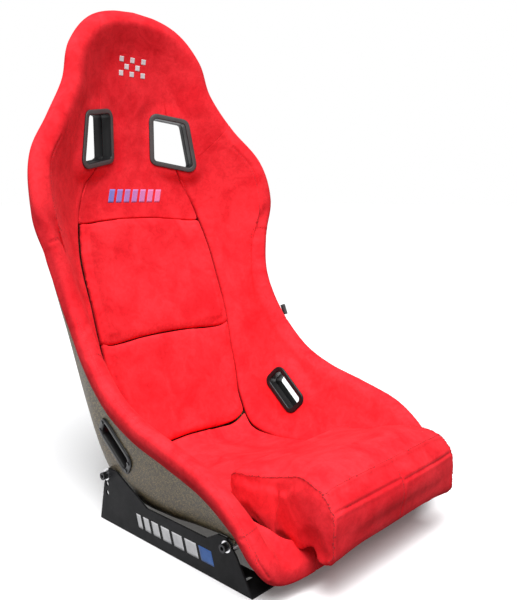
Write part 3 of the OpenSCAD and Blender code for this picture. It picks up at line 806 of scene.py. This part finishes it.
def head_solid():
    per = 1 / 4 / 95
    fs = with_ends(0, 1, 84, per)
    fs = fs[(fs < 0.9) | (np.abs(fs - np.round(fs * 84) / 84) < 1e-6) | (fs > 0.9975)]
    d = round_off(fs / per, END_R)

    def low(u, v):
        side = level(PAD_TOP + 0.022, v)
        out = wing_level(HEAD_START, v) + 0.01
        start = side + (out - side) * smoothstep(v, HEAD_SIDE, HEAD_FROM)
        return start + (LAST - start) * u

    n = WING_PAD - d
    flat = [(v, 0, n, 0) for v in (0, 0.06, 0.12, 0.18, 0.24, 0.3, 0.36, 0.42, 0.48, 0.52)]
    step = [(v, 0, n - 0.15 * (1 - abs(v - 0.55) / 0.01), 0)
            for v in (0.54, 0.545, 0.55, 0.555, 0.56)]
    side = face_columns(0.56, fs, low, n, (0.12, 0.3, 0.5, 0.7, 0.85, 1.0))
    front = loft(fs, both_sides(flat + step + side + rim_places(n, d)), low, 2)
    behind = back_places([(v, 0, HEAD_CLEAR, 1) for v in (0.68, 0.56, 0.54, 0.4, 0.2, 0)], HEAD_CLEAR)
    back = loft(fs, behind + other_side(behind[:-1]), low)
    return tube("head_panel", np.concatenate([front, back], 1), SUEDE, front.shape[1], WELD, True)


def lip_solid():
    us = with_ends(-LIP_END, LIP_END, 70, 1 / 120)
    d = sum(round_off(x * 120, LIP_END_R) for x in (us - us[0], us[-1] - us))
    n = wing_depth(np.full_like(us, LIP_END)) - d
    chain = [(0.3, 0, 4.5 - 0.3 * d, 0), (0.36, 0, 5.2 - 0.3 * d, 0), (0.45, 0, 6.5 - 0.5 * d, 0),
             (0.62, 0, n, 0), (0.71, 0, n, 0), (1, 20, n, 0)]
    front = spaced(loft(us, chain + rim_places(n, d), plain, 6), 46)
    behind = back_places([(v, 0, LIP_CLEAR, 1) for v in (0.7, 0.62, 0.45, 0.3)], LIP_CLEAR)
    back = loft(us, behind, plain)
    return tube("front_lip", np.concatenate([front, back], 1), SUEDE, front.shape[1])


# ---- lift-out pads
PAD_BACK_SIDE, PAD_TAPER, PAD_AT = 0.36, 0.14, 4.9
PAD_GROW, PAD_GROW_SIDE, PAD_EDGE_R, CROWN = 0.026, 0.0125, 4, 3.0
GAP = 0.03
# Each pad's rows (low, high), depths in mm there, and how far its sides pull in there
UPPER = (PAD_SPLIT + GAP / 2, PAD_TOP, 36, 36, 0, 0.008)
LOWER = (BACK_START + 0.6 * GAP, PAD_SPLIT - GAP / 2, 36, 36, 0.012, 0)
SEAT = (4.9 + GAP / 2, BACK_START - 0.9 * GAP, 46, 30, 0, 0.006)


def pad_solid(name, pad):
    """A wedge-backed pad with a rounded, crowned top, grown to meet its neighbours."""
    low, high, first, last, side_low, side_high = pad
    per_mm = 1 / (100 * (high - low))
    ts = with_ends(0, 1, 46, per_mm)
    ts = np.concatenate([[0, 0], ts[1:-1], [1, 1]])
    ends = round_off(ts / per_mm, PAD_EDGE_R) + round_off((1 - ts) / per_mm, PAD_EDGE_R)
    ends[[0, -1]] = 15
    low, high = low - PAD_GROW, high + PAD_GROW
    depth = first + (last - first) * ts - ends
    side = PAD_SIDE + PAD_GROW_SIDE - side_low * ramp(ts, 0.5, 0) - side_high * ramp(ts, 0.5, 1)
    crown = CROWN * np.sin(np.pi * np.clip(ts, 0.02, 0.98))

    def row(t, v):
        return level(low + (high - low) * t, v)

    def behind(t, v):
        return level(low + PAD_TAPER + (high - low - 2 * PAD_TAPER) * t, v)

    right = []
    for x in np.concatenate([np.linspace(0, 0.9, 12), [0.93, 0.955, 0.975, 0.99]]):
        rise = crown * (1 - (2 * x * x - x ** 4)) - round_off((1 - x) * 190, 5)
        right.append((side * x, 0, depth - 1.5 + rise, 0))
    right += [(side, 0, np.maximum(depth - 7, 12), 0),
              (side - 0.003, 0, np.maximum(depth - 14, 9), 0)]
    chain = other_side(right[1:]) + right
    rows = [place(row(ts, np.abs(v)), v, a, np.minimum(n, depth), s) for v, a, n, s in chain]
    for x in (1, 0.6, 0.2, -0.2, -0.6, -1):
        v = side * PAD_BACK_SIDE / PAD_SIDE * x
        rows.append(place(behind(ts, np.abs(v)), v, 0, PAD_AT + CLEAR, 1))
    return tube(name, np.transpose(np.array(rows), (1, 0, 2)), SUEDE, len(chain))


# The thigh pad's section, from its front to its rear, as (y, z) in mm
THIGH_TOP = np.array([[-304, 69], [-322, 66], [-337, 73], [-341, 105], [-336, 150], [-318, 169],
                      [-285, 178], [-250, 175], [-200, 159], [-152, 144], [-118, 135], [-110, 120]], float)
THIGH_UNDER = np.array([[-300, 71], [-297, 72], [-292, 73], [-286, 73], [-278, 72], [-268, 71],
                        [-255, 72], [-235, 70], [-200, 68], [-165, 68], [-140, 68], [-120, 71]], float)


def thigh_half(y):
    """Half the thigh pad's width: it widens towards the front."""
    return 146 + 20 * smoothstep(-y, 205, 325)


def thigh_solid():
    steps = np.linspace(0, len(THIGH_TOP) - 1, 56)
    top, under = along_path(THIGH_TOP, steps), along_path(THIGH_UNDER, steps)
    ws = np.concatenate([np.linspace(0, 0.9, 14), [0.93, 0.955, 0.975, 0.99, 1.0]])
    ws = np.concatenate([-ws[:0:-1], ws])
    rows = []
    for w in ws:
        edge = round_off((1 - abs(w)) * 150, 7) / 7
        share = 0.99 - 0.06 * edge - 0.05 * abs(w) ** 10
        p = under + (top - under) * share
        p[:, 1] -= 11 * abs(w) ** 5 * smoothstep(-p[:, 0], 130, 230) * share
        rows.append((w, p))
    for w in ws[::-1]:
        p = under.copy()
        y = p[:, 0]
        p[:, 1] -= (15 * smoothstep(abs(w), 0.8, 0.96) * smoothstep(-y, 150, 210)
                    * smoothstep(y, -296, -262))
        rows.append((w, p))
    rows = [np.column_stack([w * (thigh_half(p[:, 0]) - 1.5), p]) * MM for w, p in rows]
    return tube("thigh_cushion", np.transpose(np.array(rows), (1, 0, 2)), SUEDE, len(ws))


VOXEL, PRESSURE, SIM_FRAMES = 0.0045, 4.0, 20


def inflate(objs, caps):
    """Remeshes closed pads, lets them swell under cloth pressure, and keeps each point
    within its cap of where it began."""
    for obj in objs:
        modify(obj, "remesh", "REMESH", mode="VOXEL", voxel_size=VOXEL)
        apply_modifiers(obj)
        modify(obj, "even", "CORRECTIVE_SMOOTH", iterations=3, use_only_smooth=True)
        apply_modifiers(obj)
    starts = [verts_of(o) for o in objs]
    for obj in objs:
        m = modify(obj, "cloth", "CLOTH")
        configure(m.settings, quality=5, mass=0.3, use_pressure=True,
                  uniform_pressure_force=PRESSURE, tension_stiffness=12,
                  compression_stiffness=12, bending_stiffness=1.0)
        m.settings.effector_weights.gravity = 0
        m.collision_settings.use_collision = False
    for frame_number in range(1, SIM_FRAMES + 1):
        scene.frame_set(frame_number)
    for obj, start, cap in zip(objs, starts, caps):
        apply_modifiers(obj)
        move = verts_of(obj) - start
        far = np.linalg.norm(move, axis=1, keepdims=True)
        set_verts(obj, start + move * np.minimum(1, cap / (far + 1e-9)))
    scene.frame_set(1)
    for obj in objs:
        shade_smooth(obj.data)
        subdivide(obj)
        if not obj.data.materials:
            obj.data.materials.append(SUEDE)


# ---- seams and stitches
def samples(points, spacing=0.0012):
    """A line in metres as evenly spaced points, smoothed."""
    p = along_path(points, np.linspace(0, len(points) - 1, len(points) * 14))
    return spread(p, max(2, int(run_length(p)[-1] / spacing)))


def carve(obj, lines, depth, width, puff, pucker=0.0):
    """Draws the surface in along seams, by depth mm over width mm, and lets it swell by
    puff mm beside them. A negative depth raises it."""
    points = np.concatenate([samples(l) for l in lines])
    tree = KDTree(len(points))
    for i, p in enumerate(points):
        tree.insert(p, i)
    tree.balance()
    co, normal = verts_of(obj), normals_of(obj)
    move = np.zeros(len(co))
    lo, hi = points.min(0) - 0.02, points.max(0) + 0.02
    for i in np.nonzero(((co > lo) & (co < hi)).all(1))[0]:
        near, k, dist = tree.find(co[i])
        d = dist / MM
        if d > 22:
            continue
        swell = math.exp(-((d - 3.2 * width) / (1.7 * width)) ** 2)
        move[i] = -depth * math.exp(-(d / width) ** 2) + puff * swell
        if pucker:
            move[i] += pucker * math.sin(k * 0.42) * math.exp(-(d / (3 * width)) ** 2)
    set_verts(obj, co + normal * move[:, None] * MM)


def surface_tree(obj):
    bm = bmesh.new()
    bm.from_mesh(obj.data)
    tree = BVHTree.FromBMesh(bm)
    bm.free()
    return tree


def on_surface(tree, points):
    """Each point moved to the nearest place on a surface, with the normal there."""
    out, normals = [], []
    for p in points:
        q, n, _, _ = tree.find_nearest(Vector(p))
        out.append(q)
        normals.append(n)
    return np.array(out), np.array(normals)


# A stitch's ends and middle: (place along it, share of its thickness)
CAPSULE = [(-0.5, 0.02), (-0.46, 0.6), (-0.3, 0.95), (0.0, 1.0),
           (0.3, 0.95), (0.46, 0.6), (0.5, 0.02)]
STITCH, STITCH_GAP, STITCH_R, STITCH_LIFT, STITCH_SIDES = 3.6, 1.5, 0.5, 0.15, 8


class Thread:
    """All of a body's stitches, as one mesh."""

    def __init__(self, name):
        self.name, self.verts, self.faces = name, [], []

    def sew(self, tree, line, offset):
        """A row of stitches, offset mm beside a line on the surface."""
        p = samples(line, 0.0004)
        p, n = on_surface(tree, p[:: 1 + len(p) // 4000])
        run = unit(np.gradient(p, axis=0))
        side = unit(np.cross(n, run))
        p = p + side * offset * MM + n * STITCH_LIFT * MM
        along = run_length(p) / MM
        pitch = STITCH + STITCH_GAP
        for k in range(int(along[-1] / pitch)):
            i = min(int(np.searchsorted(along, (k + 0.5) * pitch)), len(p) - 1)
            self.stitch(p[i], run[i], side[i], n[i])

    def stitch(self, at, run, side, up):
        base, rows = len(self.verts), len(CAPSULE)
        for t, r in CAPSULE:
            sink = -0.5 * (2 * t) ** 4
            for j in range(STITCH_SIDES):
                a = 2 * math.pi * j / STITCH_SIDES
                round_it = (side * math.cos(a) + up * math.sin(a)) * r * STITCH_R
                self.verts.append(at + (run * t * STITCH + round_it + up * sink) * MM)
        self.faces += grid_faces(rows, STITCH_SIDES, base, loop=True)
        last = base + (rows - 1) * STITCH_SIDES
        self.faces.append(tuple(range(base + STITCH_SIDES - 1, base - 1, -1)))
        self.faces.append(tuple(range(last, last + STITCH_SIDES)))

    def finish(self, body):
        obj = make(self.name, self.verts, self.faces, THREAD)
        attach(obj, body)


# ---- slot bezels
FLANGE_T, SLEEVE_T = 3.0, 2.0


def bezel_profile(depth):
    """(grow, z) pairs round a bezel's cross-section, z = 0 at its flange's back: a
    domed face, a rolled mouth and the sleeve behind."""
    return [(FLANGE, 0.0), (FLANGE, 1.0), (FLANGE - 0.3, 1.9), (FLANGE - 1.1, 2.6),
            (FLANGE - 2.6, FLANGE_T), (4.0, FLANGE_T + 0.05), (2.2, FLANGE_T), (1.0, 2.5),
            (0.25, 1.6), (0.0, 0.3), (0.0, -depth + 0.6), (0.4, -depth),
            (SLEEVE_T - 0.4, -depth), (SLEEVE_T, -depth + 0.6), (SLEEVE_T, 0.0)]


def bezel(name, slot, depth, behind, face, cad):
    """One half of a slot's trim, on both sides of the seat; behind turns it to face the
    other way."""
    profile = bezel_profile(depth)
    at = slot["back"] if behind else slot["face"]
    verts, faces = slot_ring(slot, [(g, at - z if behind else at + z) for g, z in profile])
    obj = make(name, verts, faces, face)
    obj.data.materials.append(DARK_PLASTIC)
    per_ring = len(faces) // len(profile)
    for i, polygon in enumerate(obj.data.polygons):
        ring = i // per_ring
        polygon.material_index = 0 if 2 <= ring <= 6 else 1
    sharpen(obj, 50)
    for piece, side in ((obj, "right"), (mirrored(obj, "left_" + name[6:]), "left")):
        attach(piece, "root")
        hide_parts(f"{side}_{cad}")


# ---- strips and tag
TAPE_T, TAPE_HALF, TAPE_PILE = 1.4, 0.3, 0.35


def strip(name, node, spans, low_n, body):
    """Hook-and-loop tapes across the shell, low_n mm over it, with raised pile and flat
    edges; spans holds each one's (middle, half width) in rows."""
    verts, faces = [], []
    for mid, half in spans:
        us = np.linspace(mid - half, mid + half, 15)
        edge_u = round_off((1 - np.abs(us - mid) / half) * half * 95, 3) / 3
        top, bottom = [], []
        for v in np.linspace(-TAPE_HALF, TAPE_HALF, 61):
            edge_v = float(round_off((TAPE_HALF - abs(v)) * 370, 3) / 3)
            pile = TAPE_PILE * (0.5 + 0.5 * np.sin(us * 190 + v * 300)) * (1 - edge_u)
            n = low_n + TAPE_T - TAPE_PILE - 0.4 * np.maximum(edge_u, edge_v) + pile * 0.6
            at = level(us, np.full_like(us, abs(v)))
            top.append(place(at, v if v else 1e-9, 0, n, 1))
            bottom.append(place(at, v if v else 1e-9, 0, low_n, 1))
        top, bottom = np.array(top), np.array(bottom)
        rows, cols = top.shape[:2]
        base = len(verts)
        loops = np.concatenate([top, bottom[:, ::-1]], 1)
        verts += list(loops.reshape(-1, 3))
        width = cols * 2
        faces += grid_faces(rows, width, base, loop=True) + zipped(loops[0], base, cols)
        faces += zipped(loops[-1], base + (rows - 1) * width, cols)
    obj = make(name, verts, faces, TAPE)
    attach(obj, body)
    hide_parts(node)


TAB_LEAN, TAB_HALF, TAB_OUT, TAB_T = 68, 11, 2.3, 4.2


def pull_tab():
    """A strap folded in two: a rounded fold outside, both ends sewn into the cover."""
    low, high = (np.array(c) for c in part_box("side_tag"))
    path = [(-2.0, 0.9), (1.0, 1.0), (2.6, 0.75), (3.4, 0.0), (2.6, -0.75), (1.0, -1.0), (-2.0, -0.9)]
    outer = [(out, z * 0.9) for out, z in path]
    inner = [(out - 0.9 if out > 2.4 else out, z * 0.32) for out, z in reversed(path)]
    local = np.array([[(out * TAB_OUT, y, z * TAB_T) for out, z in outer + inner]
                      for y in np.linspace(-TAB_HALF, TAB_HALF, 13)])
    points = local @ turned((TAB_LEAN, "X")).T * MM + (low + high) / 2 + (0.002, 0, 0)
    obj = tube("side_pull_tab", points, WEBBING, len(path))
    subdivide(obj)
    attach(obj, "root")
    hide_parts("side_tag")


# ---- coloured marks
PATCH_ROWS, PATCH_COLS, PATCH_SINK = 12, 8, 0.25


def patch(name, corners, to_surface, thick, material):
    """A thin printed or sewn patch: four corners in a plane, laid on a surface."""
    a, b, c, d = (np.array(q, float) for q in corners)
    flat = [(a * (1 - s) + b * s) * (1 - t) + (d * (1 - s) + c * s) * t
            for s in np.linspace(0, 1, PATCH_ROWS) for t in np.linspace(0, 1, PATCH_COLS)]
    points, normals = to_surface(flat)
    up, down = ((points + normals * lift * MM).reshape(PATCH_ROWS, PATCH_COLS, 3)
                for lift in (thick, -PATCH_SINK))
    return tube(name, np.concatenate([up, down[:, ::-1]], 1), material, PATCH_COLS)


def joined(objs, name):
    """Several meshes as one object."""
    bm = bmesh.new()
    for o in objs:
        bm.from_mesh(o.data)
    mesh = bpy.data.meshes.new(name)
    bm.to_mesh(mesh)
    bm.free()
    mesh.materials.append(objs[0].data.materials[0])
    shade_smooth(mesh)
    for o in objs:
        bpy.data.objects.remove(o)
    return add_object(name, mesh)


def bars(name, tree, middle, direction, right, up, spans, thick, material, slot):
    """Slanted bars on a surface of the root body: spans are (left, right, low, high,
    slant) in mm about the middle, in the plane of right and up, cast along direction."""
    middle, direction = np.array(middle) * MM, Vector(direction)
    right, up = np.array(right, float), np.array(up, float)

    def lay(flat):
        out, normals = [], []
        for x, y in flat:
            start = Vector(middle + (right * x + up * y) * MM) - direction * 0.15
            q, n, _, _ = tree.ray_cast(start, direction, 0.4)
            if q is None:
                q, n, _, _ = tree.find_nearest(start)
            if n.dot(direction) > 0:
                n = -n
            out.append(q)
            normals.append(n)
        return np.array(out), np.array(normals)

    made = []
    for i, (x0, x1, y0, y1, slant) in enumerate(spans):
        corners = [(x0, y0), (x1, y0), (x1 + slant, y1), (x0 + slant, y1)]
        made.append(patch(f"{name}_{i}", corners, lay, thick, material))
    obj = joined(made, name)
    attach(obj, "root")


# ---- build the seat
shell = build_shell()
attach(shell, "root")
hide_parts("shell")

bolster, head, lip = wing_solid(), head_solid(), lip_solid()


UNEVEN, BEZEL_SINK = 0.45, 0.2


def soften(obj):
    """Seats the bezels in the padding and gives the cloth a hand-pulled unevenness."""
    co, normal = verts_of(obj), normals_of(obj)
    co = co + normal * (bumps(co) * UNEVEN)[:, None] * MM
    for slot in (SHOULDER, LAP):
        co = press(slot, co, slot["face"] - BEZEL_SINK, normal)
    set_verts(obj, co)


for obj in (bolster, head, lip):
    soften(obj)
    subdivide(obj)
left_bolster = mirrored(bolster, "left_bolster")


def rim_line(u0, u1, back, n=None, count=30):
    """A line a steady distance back from the rim, on the trim's face or n mm over the shell."""
    us = np.linspace(u0, u1, count)
    return place(wing_level(us, np.ones_like(us)), 1, back, wing_depth(us) if n is None else n, 0)


def cross_line(u, places):
    """A line across the trim through places (a, n) or (v, a, n, s)."""
    us = np.array([float(u)])
    points = []
    for c in places:
        v, a, n, s = c if len(c) == 4 else (1, c[0], c[1], 0)
        points.append(place(wing_level(us, np.array([abs(v)])), v, a, n, s)[0])
    return np.array(points)


over_rim = [(26, WING_PAD + 0.6), (5, WING_PAD), (-7, 0.6 * WING_PAD), (-12, 3), (-9, -6)]
bolster_seams = [
    rim_line(11.3, 14.3, 13),
    rim_line(2.6, 9.6, -11.5, n=3.0, count=60),
    cross_line(11.2, over_rim),
    cross_line(8.8, over_rim),
    cross_line(3.7, [(0.7, 0, 20, 0), (40, 21), (5, 20), (-7, 12), (-12, 3), (-9, -6)]),
]
EDGE_SEAM = 1  # the one with stitches on both sides
TRIM_SEAM = dict(depth=1.2, width=1.8, puff=0.4, pucker=0.08)
PAD_EDGE = dict(depth=-2.2, width=3.6, puff=-0.4)
FLAP_SEAM = dict(depth=1.5, width=1.7, puff=0.7, pucker=0.15)
BESIDE_TRIM_SEAM, BESIDE_PAD_SEAM = 2.2, 2.0
for obj, side in ((bolster, 1), (left_bolster, -1)):
    carve(obj, [line * (side, 1, 1) for line in bolster_seams], **TRIM_SEAM)

shoulder_cutters, lap_cutters = ([slot_cutter(slot, side) for side in (1, -1)]
                                 for slot in (SHOULDER, LAP))
cutters = shoulder_cutters + lap_cutters
cut(shell, cutters)
sharpen(shell, 40)
cut(head, shoulder_cutters)
for obj, *own in zip((bolster, left_bolster), shoulder_cutters, lap_cutters):
    cut(obj, own)
for c in cutters:
    bpy.data.objects.remove(c)

for obj, nodes, fill in ((bolster, ("right_wing_foam", "right_wing_cover"), 0.9),
                         (left_bolster, ("left_wing_foam", "left_wing_cover"), 0.9),
                         (head, ("head_foam", "head_cover"), 0.9),
                         (lip, ("front_lip_foam", "front_lip_cover"), 0.95)):
    shade_smooth(obj.data)
    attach(obj, "root")
    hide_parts(*nodes)

upper, lower = pad_solid("upper_back_cushion", UPPER), pad_solid("lower_back_cushion", LOWER)
seat, thigh = pad_solid("seat_cushion", SEAT), thigh_solid()
pads = {"upper_back_pad": upper, "lower_back_pad": lower, "seat_pad": seat, "thigh_pad": thigh}
inflate(list(pads.values()), (0.0022, 0.0022, 0.0025, 0.0035))


def thigh_line(points):
    """A line over the thigh pad's top, through (place on its section, -1 to 1 across)."""
    line = []
    for index, w in points:
        y, z = along_path(THIGH_TOP, [index])[0]
        line.append((w * thigh_half(y), y, z))
    return on_surface(thigh_tree, np.array(line) * MM)[0]


thigh_tree = surface_tree(thigh)
fold = thigh_line([(4.9, w) for w in np.linspace(-1, 1, 15)])
flaps = [thigh_line([(3.8, w) for w in np.linspace(-0.98, -0.03, 9)]),
         thigh_line([(3.72, w) for w in np.linspace(0.03, 0.98, 9)])]
centre = thigh_line([(i, 0.0) for i in np.linspace(1.2, 4.9, 12)])
gussets = [thigh_line([(i, side) for i in np.linspace(1.4, 10.4, 26)]) for side in (-1, 1)]
rear_edge = thigh_line([(10.1, w) for w in np.linspace(-0.97, 0.97, 15)])
carve(thigh, [fold] + gussets + [rear_edge], **PAD_EDGE)
carve(thigh, flaps + [centre], **FLAP_SEAM)
for body, obj in pads.items():
    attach(obj, body)
    node = body.replace("back_pad", "back")
    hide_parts(f"{node}_foam", f"{node}_cover")

root_thread, thigh_thread = Thread("trim_stitching"), Thread("thigh_stitching")
for obj, side in ((bolster, 1), (left_bolster, -1)):
    tree = surface_tree(obj)
    for k, line in enumerate(bolster_seams):
        for way in (1, -1) if k == EDGE_SEAM else (1,):
            root_thread.sew(tree, line * (side, 1, 1), way * BESIDE_TRIM_SEAM * side)
tree = surface_tree(thigh)
for line in [fold] + flaps + [centre] + gussets:
    thigh_thread.sew(tree, line, BESIDE_PAD_SEAM)
root_thread.finish("root")
thigh_thread.finish("thigh_pad")

bezel("right_shoulder_frame", SHOULDER, 18, False, FACE_PLASTIC, "shoulder_bezel")
bezel("right_lap_frame", LAP, 20, False, DARK_PLASTIC, "lap_bezel")
bezel("right_shoulder_rear_frame", SHOULDER, 17, True, DARK_PLASTIC, "shoulder_backing")
bezel("right_lap_rear_frame", LAP, 21, True, DARK_PLASTIC, "lap_backing")

HOOK_AT, LOOP_AT = 1.1, 2.9
tapes = {"upper_back": [(12.4, 0.14), (13.4, 0.14)], "lower_back": [(10.4, 0.14), (11.3, 0.14)],
         "seat_pad": [(6, 0.2), (7.6, 0.2)], "thigh_pad": [(3.1, 0.35), (4.2, 0.35)]}
strip("hook_tapes", "shell_hook_strips", sum(tapes.values(), []), HOOK_AT, "root")
for pad, spans in tapes.items():
    owner = pad if pad.endswith("pad") else pad + "_pad"
    strip(f"{pad}_loop_tapes", f"{pad}_loop_strips", spans, LOOP_AT, owner)
pull_tab()

# The steel parts keep their CAD shape, with eased edges: width in mm
for node, material, width in (("left_bracket", POWDER, 0.7), ("right_bracket", POWDER, 0.7),
                              ("bracket_bolts", BLACK_STEEL, 0.5), ("bracket_washers", ZINC, 0.25),
                              ("side_inserts", ZINC, 0.3), ("bezel_screws", BLACK_STEEL, 0.3)):
    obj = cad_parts[node]
    for s in obj.material_slots:
        s.material = material
    modify(obj, "eased_edges", "BEVEL", width=width * MM, segments=3, limit_method="ANGLE",
           angle_limit=math.radians(40))

# Generic coloured marks, in place of any lettering
WHITE = print_ink("white_print", (0.62, 0.62, 0.64), (0.80, 0.80, 0.82))
BLUE = print_ink("blue_print", (0.03, 0.10, 0.34), (0.05, 0.16, 0.48))
GRADIENT = print_ink("pink_blue_stitching", (0.16, 0.20, 0.62), (0.80, 0.20, 0.42), across=0.075)
CLOTH_MARK, METAL_MARK = 0.35, 0.12
head_tree = surface_tree(head)
facing = ((0, 1, 0), (1, 0, 0), (0, 0, 1))
bars("upper_mark", head_tree, (0, 290, 556), *facing,
     [(x, x + 13, -13, 13, 8) for x in range(-66, 50, 19)], CLOTH_MARK, GRADIENT, "red_suede")
squares = [(x + row % 2 * 13, 13 - 13 * row) for row in range(3) for x in (-31, -5)]
squares += [(21, 13), (21, -13)]
bars("head_mark", head_tree, (0, 290, 800), *facing,
     [(x, x + 10, z, z + 10, 0) for x, z in squares], CLOTH_MARK, WHITE, "red_suede")


def bracket_mark(side, name):
    tree = surface_tree(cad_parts[f"{name}_bracket"])
    place_on = ((side * 230, -58, 30), (-side, 0, 0), (0, 1, 0), (0, 0, 1))
    white_spans = [(x, x + 26 - 3 * k, -11, 11, 7) for k, x in enumerate((-66, -33, -3, 24, 48, 69))]
    blue_span = [(-100, -72, -11, 11, 7)]
    bars(f"{name}_bracket_bars", tree, *place_on, white_spans, METAL_MARK, WHITE, "bracket_black")
    bars(f"{name}_bracket_blue_bar", tree, *place_on, blue_span, METAL_MARK, BLUE, "bracket_black")


bracket_mark(-1, "left")
bracket_mark(1, "right")

# ---- floor, lights, camera
FLOOR_HALF, FLOOR_ROWS = 30, 25
across = np.linspace(-FLOOR_HALF, FLOOR_HALF, FLOOR_ROWS)
paper = Nodes("pale_paper", (0.86, 0.86, 0.87), 0.85, Emission_Color=(1, 1, 1, 1),
              Emission_Strength=0.08)
paper.colour(paper.fade(paper.noise(2, 2), [(0.2, (0.90, 0.90, 0.91)), (0.8, (0.93, 0.93, 0.94))]))
floor = make("floor", [(x, y, -0.0004) for x in across for y in across],
             grid_faces(FLOOR_ROWS, FLOOR_ROWS), paper.material)
floor.visible_diffuse = False

# The sky looks white to the camera, but sends little light back onto the seat
FILL, SEEN = 0.2, 1.0
world = bpy.data.worlds.new("studio")
world.use_nodes = True
sky = world.node_tree
backgrounds = [sky.nodes["Background"], sky.nodes.new("ShaderNodeBackground")]
either = sky.nodes.new("ShaderNodeMixShader")
for k, (background, strength) in enumerate(zip(backgrounds, (FILL, SEEN))):
    background.inputs["Color"].default_value = (1, 1, 1, 1)
    background.inputs["Strength"].default_value = strength
    sky.links.new(background.outputs[0], either.inputs[1 + k])
ray = sky.nodes.new("ShaderNodeLightPath")
sky.links.new(ray.outputs["Is Camera Ray"], either.inputs[0])
sky.links.new(either.outputs[0], sky.nodes["World Output"].inputs[0])
scene.world = world


def lamp(name, kind, energy, direction, at=(0, 0, 0)):
    data = configure(bpy.data.lights.new(name, kind), energy=energy)
    configure(add_object(name, data), location=at,
              rotation_euler=Vector(direction).to_track_quat("-Z", "Y").to_euler())
    return data


def area_light(name, at, toward, size, power):
    data = lamp(name, "AREA", power, Vector(toward) - Vector(at), at)
    configure(data, shape="RECTANGLE", size=size[0], size_y=size[1])


lamp("softbox", "SUN", 3.4, (0.27, 0.33, -0.90)).angle = math.radians(50)
area_light("side", (-2.6, 0.6, 1.2), (0, 0.1, 0.4), (1.2, 1.6), 5)
area_light("high_front", (-0.8, -0.8, 2.2), (0, 0.3, 0.75), (1.0, 1.0), 32)

camera = configure(bpy.data.cameras.new("camera"), lens=41.66, sensor_width=36, clip_start=0.05)
eye = configure(add_object("camera", camera), location=(-0.862, -0.854, 0.56),
                rotation_euler=(math.radians(90 - 8.687), 0, math.radians(-46.776)))
scene.camera = eye
scene.view_settings.view_transform = "Standard"
